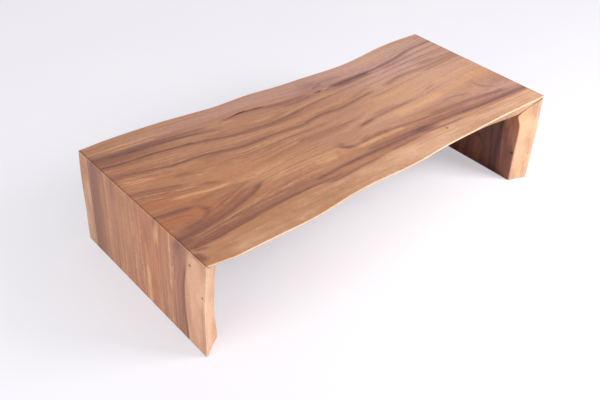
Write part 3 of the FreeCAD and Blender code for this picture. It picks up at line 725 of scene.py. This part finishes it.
def make_slab(name, length, edges, mitred, place, unrolled, details):
    """A slab piece as a closed mesh. Every section across it has the same rows: the outer face
    from back to front, the front edge, the inner face with fewer rows, and the back edge."""
    stations = spread(length, STATION_STEP, END_STATIONS, details["stations"])
    shares = spread(2 * HALF_WIDTH, ROW_STEP, END_ROWS, details["rows"])
    faces = len(shares) - 1
    coarse = np.linspace(0, faces, faces // ROWS_PER_INNER_ROW + 1)
    coarse = np.unique(np.round(coarse).astype(int))
    (along_f, out_f, deep_f), (along_b, out_b, deep_b) = (
        edge_rows(edge, length, mitred, stations, seed + details["seed"])
        for edge, seed in zip(edges, EDGE_SEEDS))

    def across_section(row):
        """Points from the back edge to the front edge at one row of the edges."""
        return np.stack([back[:, row, None] * (1 - shares) + front[:, row, None] * shares
                         for back, front in ((along_b, along_f), (out_b, -out_f),
                                             (deep_b, deep_f))], -1)

    rows = slice(1, EDGE_STEPS)
    ring = np.concatenate([
        across_section(0),
        np.stack([along_f, -out_f, deep_f], -1)[:, rows],
        across_section(EDGE_STEPS)[:, coarse][:, ::-1],
        np.stack([along_b, out_b, deep_b], -1)[:, rows][:, ::-1]], 1)
    count, around = ring.shape[:2]

    # What each point of a section belongs to: the outer face, the inner face, the outer arrises,
    # and how far it has turned inwards round the inner arrises.
    starts = front_start, inner_start, back_start = (
        faces + 1, faces + EDGE_STEPS, faces + EDGE_STEPS + len(coarse))
    on_outer, on_inner, arris, turned = np.zeros((4, around))
    on_outer[:front_start] = 1
    on_inner[inner_start:back_start] = 1
    # The outer arrises carry a pale line and a painted highlight, strongest along the middle of
    # their curve.
    bend = np.sin(np.pi * np.arange(OUTER_STEPS + 1) / OUTER_STEPS) ** ARRIS_POWER
    arris[faces:faces + OUTER_STEPS + 1] = bend
    arris[-OUTER_STEPS:] = bend[1:][::-1]
    turning = np.arange(INNER_STEPS) / INNER_STEPS
    turned[inner_start - INNER_STEPS:inner_start] = turning
    turned[inner_start:back_start] = 1
    turned[back_start:back_start + INNER_STEPS - 1] = turning[:0:-1]

    # The end faces, from the outer row to the inner row, without the rows the ring has already.
    caps = [np.array([across_section(row)[station, 1:-1] for row in range(1, EDGE_STEPS)])
            for station in (0, -1)]
    points = np.concatenate([ring.reshape(-1, 3), *(cap.reshape(-1, 3) for cap in caps)])
    loose = len(points) - count * around
    on_outer, on_inner, arris, turned = (np.append(np.tile(row, count), np.zeros(loose))
                                         for row in (on_outer, on_inner, arris, turned))
    at, y, deep = points.T.copy()

    # The outer corner of a mitre is eased by hand, and so is the foot all round.
    seam = np.zeros(len(points))
    for end in (0, 1):
        measured = length - at if end else at
        if mitred[end]:
            # The glue line of the mitre, with a painted shadow line on the edges and inside;
            # below 0 a painted highlight beside the joint.
            outside = deep < OUTER_ARRIS
            shown = np.where(outside, *details["glue_lines_and_painted_light"][end])
            width = np.where(outside, SEAM_WIDTH, INNER_SEAM_WIDTH)
            inset = np.where(outside & (shown > 0), SEAM_INSET, 0)
            seam += shown * np.exp(-((measured - deep - inset) / width) ** 2)
            measured = measured + EASED_CORNER * np.exp(-measured / EASED_CORNER)
            dropped = np.where(measured < MITRE_EASE, eased(measured, MITRE_EASE), 0)
            deep = np.maximum(deep, dropped)
            at = np.minimum(at, length - measured) if end else np.maximum(at, measured)
        else:
            inset = eased(measured, FOOT_EASE)
            deep = deep + (SLAB_THICKNESS / 2 - deep) * inset / (SLAB_THICKNESS / 2)
            y = y * (1 - inset / HALF_WIDTH)
    board = unrolled(at)
    across = ACROSS_DATUM - y
    sunk = (patches(details["hollows"], board, across) * on_outer
            + patches(details["inner_hollows"], board, across) * on_inner)
    world = place(at, y, deep + sunk * (on_outer - on_inner))

    # The skin all round, and then the end faces, which have the second material.
    ids = np.arange(count * around).reshape(count, around)
    after = np.roll(ids, -1, 1)
    polygons = np.stack([ids[:-1], after[:-1], after[1:], ids[1:]], -1).reshape(-1, 4).tolist()
    skin = len(polygons)
    inside = np.arange(count * around, len(points)).reshape(2, EDGE_STEPS - 1, faces - 1)
    polygons += [cell[::-1] for cell in end_polygons(ids[0], inside[0], starts, coarse)]
    polygons += end_polygons(ids[-1], inside[1], starts, coarse)
    mesh = bpy.data.meshes.new(name)
    mesh.from_pydata(world.tolist(), [], polygons)
    mesh.polygons.foreach_set("use_smooth", np.ones(len(polygons), bool))
    is_end = np.arange(len(polygons)) >= skin
    mesh.polygons.foreach_set("material_index", is_end.astype(np.int32))
    mesh.set_sharp_from_angle(angle=SHARP_FROM)

    lean_front, lean_back = (edge_reach(edge, length, mitred, False)(at)
                             - edge_reach(edge, length, mitred, True)(at) for edge in edges)
    write_figure(mesh, board, across, deep, (lean_front, lean_back), on_outer, turned, details)
    # The painted highlight along the outer arris is made stronger or weaker by patches.
    arris = arris * (1 + patches(ARRIS_PATCHES, board, across))
    write_values(mesh, "wear_and_painted_light", arris, seam, sunk)
    piece = bpy.data.objects.new(name, mesh)
    bpy.context.collection.objects.link(piece)
    return piece


def add_node(tree, kind, inputs=(), **settings):
    """A node with its settings, and its inputs by name or number, each a number or a socket."""
    made = tree.nodes.new(kind)
    for setting, value in settings.items():
        setattr(made, setting, value)
    for key, value in dict(inputs).items():
        if isinstance(value, bpy.types.NodeSocket):
            tree.links.new(value, made.inputs[key])
        else:
            made.inputs[key].default_value = value
    return made


def calc(tree, operation, first, second=0.0, third=0.0):
    """The result of one operation on numbers or sockets."""
    return add_node(tree, "ShaderNodeMath", {0: first, 1: second, 2: third},
                    operation=operation).outputs[0]


def weighted(tree, total, *parts):
    """A total with parts added to it, each a value and its share."""
    for value, share in parts:
        total = calc(tree, "MULTIPLY_ADD", value, share, total)
    return total


def centred(tree, noise):
    """A noise moved down so that its middle is 0."""
    return calc(tree, "SUBTRACT", noise, .5)


def paint(colour):
    """A linear colour from one written in sRGB bytes."""
    shares = [byte / 255 for byte in colour]
    return (*(s / 12.92 if s <= .04045 else ((s + .055) / 1.055) ** 2.4 for s in shares), 1.0)


def blend_colours(tree, share, first, second, kind="MIX"):
    """The second colour over the first by a share. Colours are sockets or sRGB bytes."""
    first, second = (paint(colour) if isinstance(colour, tuple) else colour
                     for colour in (first, second))
    return add_node(tree, "ShaderNodeMix", {0: share, 6: first, 7: second}, data_type="RGBA",
                    blend_type=kind).outputs[2]


def ramp(tree, value, low, high, start=0.0, end=1.0):
    """A smooth step of the value from low to high."""
    return add_node(tree, "ShaderNodeMapRange", {0: value, 1: low, 2: high, 3: start, 4: end},
                    interpolation_type="SMOOTHSTEP").outputs[0]


def shade(tree, colour, other, value, low, high, most=1.0):
    """The colour turned into the other as the value goes from low to high, by the most given."""
    return blend_colours(tree, ramp(tree, value, low, high, 0, most), colour, other)


def grain_noise(tree, grain, scales, detail, rough=0.55):
    """Noise drawn out along the growth lines. Scales are per metre along, across and down."""
    scaled = add_node(tree, "ShaderNodeVectorMath", {0: grain, 1: scales}, operation="MULTIPLY")
    return add_node(tree, "ShaderNodeTexNoise", {"Vector": scaled.outputs[0], "Scale": 1.0,
                    "Detail": detail, "Roughness": rough}).outputs[0]


# How far along the lines of the grain may slide, and how far across they may wave, in metres.
GRAIN_SLIDE = 4.0
GRAIN_WAVE = 0.026


def drifted(tree, still):
    """The grain with each line slid along by its own amount, so that no two keep step, and
    waving a little to either side."""
    slide = grain_noise(tree, still, (0, 60, 45), 3, .8)
    wave = centred(tree, grain_noise(tree, still, (16, 34, 30), 4, .6))
    moved = add_node(tree, "ShaderNodeCombineXYZ", {0: calc(tree, "MULTIPLY", slide, GRAIN_SLIDE),
                     1: calc(tree, "MULTIPLY", wave, GRAIN_WAVE)})
    return add_node(tree, "ShaderNodeVectorMath", {0: still, 1: moved.outputs[0]},
                    operation="ADD").outputs[0]


def mesh_values(tree, title):
    """The values that a mesh holds under a title, together and each apart."""
    together = add_node(tree, "ShaderNodeAttribute", attribute_name=title).outputs["Vector"]
    return together, *add_node(tree, "ShaderNodeSeparateXYZ", {0: together}).outputs


def new_material(name):
    """A material, its node tree and its shader."""
    made = bpy.data.materials.new(name)
    made.use_nodes = True
    return made, made.node_tree, made.node_tree.nodes["Principled BSDF"]


def finish_shader(tree, shader, colour, rough, height, strength, distance):
    """Colour, roughness and bump. A roughness that is the same all over is a plain number."""
    tree.links.new(colour, shader.inputs["Base Color"])
    if isinstance(rough, float):
        shader.inputs["Roughness"].default_value = rough
    else:
        tree.links.new(rough, shader.inputs["Roughness"])
    bump = add_node(tree, "ShaderNodeBump",
                    {"Strength": strength, "Distance": distance, "Height": height})
    tree.links.new(bump.outputs[0], shader.inputs["Normal"])


# Colours of the wood as sRGB bytes, some of them painted light. The edge shade and clear and the
# two painted shades of the inner faces multiply.
HEART_TAN = (200, 144, 108)
HEART_BROWN = (166, 112, 84)
HEART_WARM = (188, 116, 72)
HEART_COOL = (205, 160, 147)
HEART_GOLD = (230, 176, 128)
STREAK_SOFT = (135, 87, 73)
STREAK_DARK = (80, 52, 46)
SAPWOOD = (188, 135, 100)
SAPWOOD_PALE = (225, 178, 144)
SAPWOOD_SHADE = (176, 122, 92)
SAPWOOD_BROWN = (176, 124, 92)
# Pale of the sanded live edges, also the painted highlight beside the mitre joints.
EDGE_PALE = (240, 194, 152)
EDGE_SHADE = (225, 220, 218)
EDGE_CLEAR = (238, 234, 232)
# The sanded arris's paler wood together with a painted highlight.
ARRIS_PALE_AND_HIGHLIGHT = (252, 238, 207)
# The glue line of the mitres together with a painted shadow line along it.
SEAM_GLUE_AND_SHADE = (112, 58, 38)
POCKET_DARK = (52, 34, 29)
# Painted shade of the faces turned in towards the floor, in the heartwood and in the sapwood.
INNER_PAINTED_SHADE = (154, 126, 116)
INNER_SAPWOOD_PAINTED_SHADE = (212, 182, 162)


def feathered(tree, streak, feather, clear):
    """The share of a streak's colour: frayed at its sides, and whole from a clear strength on."""
    frayed = ramp(tree, calc(tree, "ADD", streak, feather), -.05, .75)
    return calc(tree, "MULTIPLY", frayed, ramp(tree, streak, .02, clear))


def make_slab_wood():
    """Raintree heartwood and sapwood under a satin lacquer."""
    wood, tree, shader = new_material("slab_wood")
    still, along, _, _ = mesh_values(tree, "grain")
    _, dark, pale, sap = mesh_values(tree, "streaks")
    _, rim, seam, sunk = mesh_values(tree, "wear_and_painted_light")
    _, light, warm, inner = mesh_values(tree, "tone")

    # Noise along the grain, from broad rings down to single fibres, and soft mottling.
    grain = drifted(tree, still)
    broad = grain_noise(tree, grain, (1.6, 30, 30), 3)
    middle = grain_noise(tree, grain, (2.4, 85, 70), 3, .6)
    lines = grain_noise(tree, grain, (3.5, 190, 130), 4, .6)
    fine = grain_noise(tree, grain, (7, 420, 300), 3, .6)
    fibre = grain_noise(tree, grain, (18, 1300, 700), 3)
    mottle = grain_noise(tree, still, (9, 26, 26), 3)

    # Heartwood: brown and tan rings, calm in some stretches and lively in others, calmer towards
    # the narrow end, livelier on the inner faces, and golden, warm or cool by patches.
    lively = ramp(tree, grain_noise(tree, still, (2.4, 10, 10), 2), .36, .62, .35, 1.7)
    lively = calc(tree, "MULTIPLY", lively, ramp(tree, along, -.35, 1.5, 1.45, .55))
    lively = weighted(tree, lively, (inner, .8))
    rings = weighted(tree, -.55, (lines, .30), (middle, .35), (broad, .45))
    rings = weighted(tree, .55, (rings, lively), (light, .22))
    heart = blend_colours(tree, ramp(tree, rings, .44, .64), HEART_BROWN, HEART_TAN)
    heart = shade(tree, heart, HEART_GOLD, rings, .58, .82, .85)
    heart = shade(tree, heart, STREAK_SOFT, rings, .48, .30, .60)
    hue = centred(tree, grain_noise(tree, still, (2.0, 15, 15), 2))
    warm = weighted(tree, warm, (hue, 1.4))
    heart = shade(tree, heart, HEART_WARM, warm, 0, 1, .9)
    heart = shade(tree, heart, HEART_COOL, warm, 0, -1, .9)
    finer = calc(tree, "MULTIPLY", centred(tree, fine), lively)
    heart = shade(tree, heart, STREAK_SOFT, finer, 0, -.24, .34)
    heart = shade(tree, heart, HEART_GOLD, finer, .02, .26, .26)

    # Fine veins: the late wood of single rings, darker in some stretches than in others.
    veined = grain_noise(tree, grain, (1.1, 52, 40), 2)
    coarse = grain_noise(tree, grain, (.9, 24, 24), 2)
    patchy = ramp(tree, grain_noise(tree, grain, (3.2, 16, 20), 2), .36, .62)
    for noise, width, peak in ((veined, .022, .55), (coarse, .014, .60)):
        crossing = calc(tree, "ABSOLUTE", centred(tree, noise))
        vein = calc(tree, "MULTIPLY", ramp(tree, crossing, width, 0, 0, peak), patchy)
        heart = blend_colours(tree, vein, heart, STREAK_SOFT)

    # Streaks, feathered into fine lines.
    feather = weighted(tree, -.75, (lines, .75), (middle, .75))
    heart = blend_colours(tree, feathered(tree, pale, feather, .20), heart, HEART_GOLD)
    dark_share = feathered(tree, dark, feather, .16)
    heart = blend_colours(tree, dark_share, heart, STREAK_SOFT)
    darkest = weighted(tree, dark, (feather, 1.2))
    heart = shade(tree, heart, STREAK_DARK, darkest, .35, 1.1, .95)

    # Sapwood, with a boundary that wanders a little and marks of its own. It is palest on the
    # live edges, and clouded there from the sanding.
    wander = weighted(tree, sap, (centred(tree, lines), .006))
    in_sap = ramp(tree, wander, -.0015, .0035)
    sap_rings = weighted(tree, 0.0, (broad, .11), (middle, .25), (lines, .40), (mottle, .24),
                         (light, .30))
    sapwood = blend_colours(tree, ramp(tree, sap_rings, .37, .63), SAPWOOD, SAPWOOD_PALE)
    sapwood = shade(tree, sapwood, SAPWOOD_SHADE, mottle, .62, .44, .18)
    edge_light = weighted(tree, light, (centred(tree, mottle), 2.0))
    sapwood = shade(tree, sapwood, EDGE_PALE, edge_light, .5, 1.5)
    sanded = blend_colours(tree, ramp(tree, mottle, .40, .60), EDGE_SHADE, EDGE_CLEAR)
    sapwood = blend_colours(tree, ramp(tree, light, .9, 1.2), sapwood, sanded, "MULTIPLY")
    sapwood = shade(tree, sapwood, HEART_BROWN, fine, .52, .30, .32)
    sapwood = shade(tree, sapwood, SAPWOOD_BROWN, light, -.2, -1.2, .8)
    sapwood = blend_colours(tree, calc(tree, "MULTIPLY", dark_share, .9), sapwood, STREAK_SOFT)
    colour = blend_colours(tree, in_sap, heart, sapwood)

    # Fibres, pores, the paler sanded arris with a painted highlight along it, the glue line of
    # the mitres with a painted shadow line and painted highlights beside it, and the bark pocket.
    # The faces turned in towards the floor get a painted shade, darker and browner.
    colour = shade(tree, colour, STREAK_SOFT, fibre, .7, .3, .14)
    pore = ramp(tree, grain_noise(tree, still, (85, 1500, 900), 1, .4), .66, .74)
    colour = blend_colours(tree, calc(tree, "MULTIPLY", pore, .35), colour, STREAK_DARK)
    # Painted shade on the faces turned in towards the floor, darker in the heartwood.
    inner_shade = blend_colours(tree, in_sap, INNER_PAINTED_SHADE, INNER_SAPWOOD_PAINTED_SHADE)
    shaded_colour = blend_colours(tree, 1.0, colour, inner_shade, "MULTIPLY")
    colour = blend_colours(tree, inner, colour, shaded_colour)
    # The paler sanded outer arris with a painted highlight along it.
    colour = blend_colours(tree, calc(tree, "MULTIPLY", rim, .60), colour, ARRIS_PALE_AND_HIGHLIGHT)
    # Glue line of the mitres with a painted shadow line, and a painted highlight beside them
    # below 0.
    colour = shade(tree, colour, SEAM_GLUE_AND_SHADE, seam, 0, 1)
    colour = shade(tree, colour, EDGE_PALE, seam, 0, -1)
    torn = weighted(tree, sunk, (centred(tree, lines), .0012))
    colour = shade(tree, colour, POCKET_DARK, torn, .0002, .0007, .95)
    # Painted sheen: the colour is scaled up and down in small clouds across the grain, for the
    # shimmer of waving fibres.
    painted_sheen = weighted(tree, .78, (grain_noise(tree, still, (55, 90, 70), 4, .75), .44))
    colour = add_node(tree, "ShaderNodeVectorMath", {0: colour, "Scale": painted_sheen},
                      operation="SCALE").outputs[0]

    rough = weighted(tree, .36, (lines, .14), (pore, .15), (calc(tree, "ABSOLUTE", seam), .4))
    height = weighted(tree, 0.0, (fibre, .5), (pore, -.6), (lines, .8))
    finish_shader(tree, shader, colour, rough, height, strength=.25, distance=.0005)
    shader.inputs["Coat Weight"].default_value = .2
    shader.inputs["Coat Roughness"].default_value = .30
    return wood


END_DARK = (138, 96, 72)
END_TAN = (180, 130, 98)
END_SAPWOOD = (206, 158, 122)
END_PORE = (70, 46, 38)
# Where the pith of the tree lay: across the board, and below its outer face.
PITH_ACROSS = 0.36
PITH_BELOW = 0.21
RINGS_PER_METRE = 170


def make_end_grain():
    """The sawn ends: the same rings cut across, a little darker, with pores as dots."""
    wood, tree, shader = new_material("slab_end_grain")
    grain, _, ring, deep = mesh_values(tree, "grain")
    sap = mesh_values(tree, "streaks")[3]
    from_pith = calc(tree, "SUBTRACT", ring, PITH_ACROSS)
    below = calc(tree, "ADD", deep, PITH_BELOW)
    squared = weighted(tree, 0.0, (from_pith, from_pith), (below, below))
    radius = calc(tree, "SQRT", squared)
    rings = add_node(tree, "ShaderNodeCombineXYZ", {
        0: calc(tree, "MULTIPLY", radius, RINGS_PER_METRE), 1: calc(tree, "MULTIPLY", ring, 6),
        2: calc(tree, "MULTIPLY", deep, 6)}).outputs[0]
    banding = add_node(tree, "ShaderNodeTexNoise",
                       {"Vector": rings, "Scale": 1.0, "Detail": 3}).outputs[0]
    colour = blend_colours(tree, ramp(tree, banding, .3, .7), END_DARK, END_TAN)
    colour = shade(tree, colour, END_SAPWOOD, sap, -.002, .004)
    pore = ramp(tree, grain_noise(tree, grain, (1, 900, 900), 1), .64, .72)
    colour = blend_colours(tree, calc(tree, "MULTIPLY", pore, .55), colour, END_PORE)
    height = calc(tree, "SUBTRACT", banding, pore)
    finish_shader(tree, shader, colour, .62, height, strength=.3, distance=.0004)
    return wood


slab_wood = make_slab_wood()
end_grain = make_end_grain()


def finish_slab(piece, node):
    """Gives a slab its woods and puts it in the frame for the plain solid."""
    piece.data.materials.append(slab_wood)
    piece.data.materials.append(end_grain)
    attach(piece, "root")
    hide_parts(node)


def close_to(place, step, count=2):
    """Places on both sides of one, for closer rows or stations where a face has a hollow."""
    return [place + step * number for number in range(-count, count + 1)]


# What belongs to one slab: where its ripples start, how strongly the glue line shows at each end
# on the outer face and further in (brown above 0, with a painted shadow line further in; a
# painted highlight below 0), the back sapwood's line, closer stations and rows, hollows as place,
# half sizes and depth, and the inner face's own streaks.
POCKET_ROWS = [.110 + .0016 * step for step in range(22)]
TOP_DETAILS = {
    "seed": 0.0,
    "glue_lines_and_painted_light": ((.75, .6), (.4, 1.5)),
    "back_sapwood": [(0, .040), (.1, .034), (.18, .032), (.36, .046), (.5, .062), (.62, .059),
                     (.75, .076), (.9, .079), (1.05, .088), (1.2, .076), (1.35, .057),
                     (1.5, .066)],
    "stations": close_to(1.042, .002) + close_to(.888, .003),
    "rows": POCKET_ROWS + close_to(.614, .003, 1),
    "hollows": [(.530, .1445, .016, .0022, .0014), (.550, .1425, .014, .0024, .0016),
                (.575, .1490, .012, .0020, .0010), (.605, .1515, .014, .0022, .0012),
                (.624, .1560, .010, .0020, .0010), (.862, .1905, .012, .0022, .0008),
                (1.042, .635, .004, .0035, .0010)],
    "inner_hollows": [],
    "inner_streaks": [],
}
top_slab = make_slab(
    "live_edge_top", TABLE_LENGTH, (TOP_FRONT_EDGE, TOP_BACK_EDGE), (True, True),
    lambda at, y, deep: np.stack([at - TABLE_LENGTH / 2, y, TABLE_HEIGHT - deep], -1),
    lambda at: at, TOP_DETAILS)
finish_slab(top_slab, "top_slab")


# Left leg slab
# The board folded down at its wide end, so its outer face carries on the top's figure to the
# floor. Its foot is sawn square and stands flat, with the arris just eased.

LEFT_FRONT_EDGE = (
    (0.943, 0.84, 0.0),
    [(0.18, 0.959, 1.00), (0.36, 0.954, 1.17), (0.58, 0.949, 1.10), (0.80, 0.957, 1.00)],
    (*LEFT_FRONT_CORNER, -0.10),
)
LEFT_BACK_EDGE = (
    (1.022, 0.65, 0.0),
    [(0.18, 1.028, 0.70), (0.36, 1.022, 0.78), (0.58, 1.018, 0.85), (0.80, 1.026, 0.90)],
    (*LEFT_BACK_CORNER, 0.09),
)
LEFT_DETAILS = {
    "seed": 2.6,
    "glue_lines_and_painted_light": (None, (-.6, .3)),
    "back_sapwood": [(-.355, .078), (-.1, .082), (0, .083)],
    "stations": close_to(.305, .0025) + close_to(.225, .002),
    "rows": close_to(.640, .0025),
    "hollows": [(-.050, .648, .0045, .004, .0010), (-.130, .703, .004, .0035, .0008)],
    "inner_hollows": [],
    "inner_streaks": [],
}
left_leg = make_slab(
    "left_leg", TABLE_HEIGHT, (LEFT_FRONT_EDGE, LEFT_BACK_EDGE), (False, True),
    lambda at, y, deep: np.stack([deep - TABLE_LENGTH / 2, y, at], -1),
    lambda at: at - TABLE_HEIGHT, LEFT_DETAILS)
finish_slab(left_leg, "left_leg_slab")


# Right leg slab
# The narrow end of the same board. Its inner face shows under the top, with rings of its own
# because it lies 74 mm deeper in the tree.

RIGHT_FRONT_EDGE = (
    (*RIGHT_FRONT_CORNER, 0.02, 0.22),
    [(0.04, 0.916, 0.54), (0.14, 0.917, 0.50), (0.40, 0.917, 0.50), (0.65, 0.916, 0.50),
     (0.85, 0.914, 0.46)],
    (0.910, 0.44, 0.0),
)
RIGHT_BACK_EDGE = (
    (*RIGHT_BACK_CORNER, -0.02),
    [(0.10, 0.929, 0.68), (0.30, 0.925, 0.60), (0.55, 0.920, 0.52), (0.80, 0.914, 0.50)],
    (0.905, 0.50, 0.0),
)
RIGHT_INNER_STREAKS = [
    ([(1.60, .545), (1.64, .553), (1.69, .560), (1.75, .568), (1.82, .576), (1.9, .584)],
     .008, .006, .75),
    ([(1.56, .602), (1.60, .600), (1.68, .598), (1.75, .596), (1.82, .600), (1.9, .602)],
     .014, .012, .75),
    ([(1.9, .455), (1.80, .458), (1.76, .468), (1.735, .485), (1.73, .505), (1.745, .525),
      (1.79, .537), (1.9, .545)], .007, .007, .50),
    ([(1.9, .405), (1.78, .415), (1.70, .440), (1.67, .480), (1.66, .510)], .010, .010, .35),
    ([(1.66, .630), (1.72, .636), (1.78, .643), (1.9, .655)], .008, .006, .60),
    ([(1.68, .651), (1.73, .655), (1.80, .662), (1.9, .668)], .004, .005, .50),
    ([(1.70, .648), (1.78, .660), (1.84, .668), (1.9, .674)], .016, .020, .60),
    ([(1.60, .585), (1.70, .583), (1.80, .588), (1.9, .590)], .005, .005, .45),
    ([(1.56, .300), (1.70, .305), (1.9, .300)], .012, .020, .45),
    ([(1.56, .215), (1.70, .210), (1.9, .200)], .008, .014, .50),
    ([(1.56, .120), (1.70, .130), (1.9, .135)], .010, .020, .40),
    ([(1.62, .615), (1.66, .618), (1.72, .623), (1.80, .629), (1.9, .636)], .008, .013, .62),
    ([(1.74, .634), (1.80, .642), (1.9, .650)], .014, .014, .45),
    ([(1.60, .628), (1.68, .633), (1.78, .641), (1.9, .650)], .003, .003, .40),
    ([(1.58, .642), (1.66, .645), (1.74, .652)], .003, .003, .35),
    ([(1.56, .572), (1.70, .573), (1.9, .579)], .003, .003, .50),
    ([(1.60, .520), (1.66, .530), (1.74, .536), (1.80, .548), (1.9, .558)], .003, .003, .45),
    ([(1.732, .663), (1.738, .663)], .007, .006, .80),
]
RIGHT_DETAILS = {
    "seed": 5.1,
    "glue_lines_and_painted_light": ((-.3, 1.2), None),
    "back_sapwood": [(1.5, .070), (1.6, .085), (1.855, .092)],
    "stations": close_to(.235, .003),
    "rows": close_to(.620, .003),
    "hollows": [],
    "inner_hollows": [(1.735, .663, .0050, .0050, .0018)],
    "inner_streaks": RIGHT_INNER_STREAKS,
}
right_leg = make_slab(
    "right_leg", TABLE_HEIGHT, (RIGHT_FRONT_EDGE, RIGHT_BACK_EDGE), (True, False),
    lambda at, y, deep: np.stack([TABLE_LENGTH / 2 - deep, y, TABLE_HEIGHT - at], -1),
    lambda at: at + TABLE_LENGTH, RIGHT_DETAILS)
finish_slab(right_leg, "right_leg_slab")


# Loose tenons
# Six in each mitre, of planed beech with rounded sides, glued into mortises. Closed up in the
# joint they don't show, and their wood is straight-grained along their length.

TENONS_PER_MITRE = 6
BEECH_TAN = (198, 152, 116)
BEECH_PALE = (222, 182, 146)
BEECH_FLECK = (150, 104, 76)


def make_tenon_beech(name, lean):
    """Steamed beech with the short dark flecks of its rays, the grain along the tenon."""
    beech, tree, shader = new_material(name)
    place = add_node(tree, "ShaderNodeTexCoord").outputs["Object"]
    grain = add_node(tree, "ShaderNodeMapping",
                     {"Vector": place, "Rotation": (0, lean, 0)}).outputs[0]
    fibre = grain_noise(tree, grain, (12, 300, 300), 3)
    flecks = grain_noise(tree, grain, (160, 900, 900), 1)
    colour = blend_colours(tree, ramp(tree, fibre, .3, .7), BEECH_TAN, BEECH_PALE)
    colour = shade(tree, colour, BEECH_FLECK, flecks, .63, .72, .6)
    rough = weighted(tree, .55, (fibre, .15))
    finish_shader(tree, shader, colour, rough, fibre, strength=.2, distance=.0002)
    return beech


for side, lean in (("left", math.radians(45)), ("right", math.radians(-45))):
    tenon_beech = make_tenon_beech(f"tenon_beech_{side}", lean)
    for number in range(1, TENONS_PER_MITRE + 1):
        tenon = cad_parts[f"{side}_tenon_{number}"]
        for slot in tenon.material_slots:
            slot.material = tenon_beech


# Floor and light
# A plain pale floor that runs out of view. The light is two large soft lamps, a strong one to the
# front right and a weaker one to the left, and the even light of a pale room.

FLOOR_HALF = 14.0
FLOOR_COOL = (240, 241, 250)
FLOOR_PALE = (246, 247, 253)
FLOOR_SEEN = (251, 249, 255)

floor_mesh = bpy.data.meshes.new("floor")
floor_mesh.from_pydata([(FLOOR_HALF * x, FLOOR_HALF * y, 0)
                        for x, y in ((-1, -1), (1, -1), (1, 1), (-1, 1))], [], [(0, 1, 2, 3)])
floor = bpy.data.objects.new("floor", floor_mesh)
bpy.context.collection.objects.link(floor)

# To the camera the floor glows with painted light, faintly near the table and more with the
# distance from it, so that it turns paler further out.
pale_floor, floor_tree, floor_shader = new_material("pale_floor")
floor_place = add_node(floor_tree, "ShaderNodeTexCoord").outputs["Object"]
floor_cloud = add_node(floor_tree, "ShaderNodeTexNoise",
                       {"Vector": floor_place, "Scale": 1.3, "Detail": 2}).outputs[0]
floor_colour = blend_colours(floor_tree, ramp(floor_tree, floor_cloud, .3, .7),
                             FLOOR_COOL, FLOOR_PALE)
floor_tree.links.new(floor_colour, floor_shader.inputs["Base Color"])
floor_shader.inputs["Roughness"].default_value = .9
floor_shader.inputs["Specular IOR Level"].default_value = .1
floor_seen = add_node(floor_tree, "ShaderNodeLightPath").outputs["Is Camera Ray"]
# The painted glow that only the camera sees.
floor_painted_glow = add_node(floor_tree, "ShaderNodeEmission", {0: paint(FLOOR_SEEN), 1: 1.0})
from_table = add_node(floor_tree, "ShaderNodeVectorMath", {0: floor_place},
                      operation="LENGTH").outputs["Value"]
floor_fade = calc(floor_tree, "ADD", ramp(floor_tree, from_table, .3, 1.3, .34, .70),
                  ramp(floor_tree, from_table, 2.3, 6.5, 0, .30))
floor_mix = add_node(floor_tree, "ShaderNodeMixShader", {
    0: calc(floor_tree, "MULTIPLY", floor_seen, floor_fade), 1: floor_shader.outputs[0],
    2: floor_painted_glow.outputs[0]})
floor_tree.links.new(floor_mix.outputs[0], floor_tree.nodes["Material Output"].inputs[0])
floor_mesh.materials.append(pale_floor)


def add_lamp(name, place, aim, size, power, colour):
    """A square soft lamp that no polished face mirrors."""
    lamp = bpy.data.objects.new(name, bpy.data.lights.new(name, "AREA"))
    lamp.data.shape = "SQUARE"
    lamp.data.size = size
    lamp.data.energy = power
    lamp.data.color = colour
    lamp.location = place
    lamp.visible_glossy = False
    lamp.rotation_euler = (Vector(aim) - Vector(place)).to_track_quat("-Z", "Y").to_euler()
    bpy.context.collection.objects.link(lamp)


add_lamp("key_lamp", (2.0, -2.4, 2.05), (0.3, 0.0, 0.2), 1.7, 158, (1.0, 0.97, 0.94))
add_lamp("fill_lamp", (-3.2, -0.8, 1.6), (-0.5, 0.0, 0.2), 2.2, 60, (1.0, 0.96, 0.92))

# The room: its light, what a polished face mirrors, which is dimmer overhead, and the paler
# backdrop that the camera sees.
ROOM_PALE = (250, 248, 248)
BACKDROP_PALE = (250, 250, 253)
ROOM_STRENGTH = 0.36

world = bpy.data.worlds.new("pale_room")
bpy.context.scene.world = world
world.use_nodes = True
sky = world.node_tree
sky.nodes.clear()
path = add_node(sky, "ShaderNodeLightPath").outputs
direction = add_node(sky, "ShaderNodeTexCoord").outputs["Generated"]
upward = add_node(sky, "ShaderNodeSeparateXYZ", {0: direction}).outputs[2]
room = add_node(sky, "ShaderNodeBackground", {0: paint(ROOM_PALE), 1: ROOM_STRENGTH})
mirrored = add_node(sky, "ShaderNodeBackground", {0: paint(BACKDROP_PALE),
                    1: ramp(sky, upward, .36, .62, 1.0, .10)})
backdrop = add_node(sky, "ShaderNodeBackground", {0: paint(BACKDROP_PALE), 1: 1.0})
unseen = add_node(sky, "ShaderNodeMixShader", {
    0: path["Is Glossy Ray"], 1: room.outputs[0], 2: mirrored.outputs[0]})
either = add_node(sky, "ShaderNodeMixShader", {
    0: path["Is Camera Ray"], 1: unseen.outputs[0], 2: backdrop.outputs[0]})
sky.links.new(either.outputs[0], add_node(sky, "ShaderNodeOutputWorld").inputs[0])

bpy.context.scene.view_settings.view_transform = "Standard"
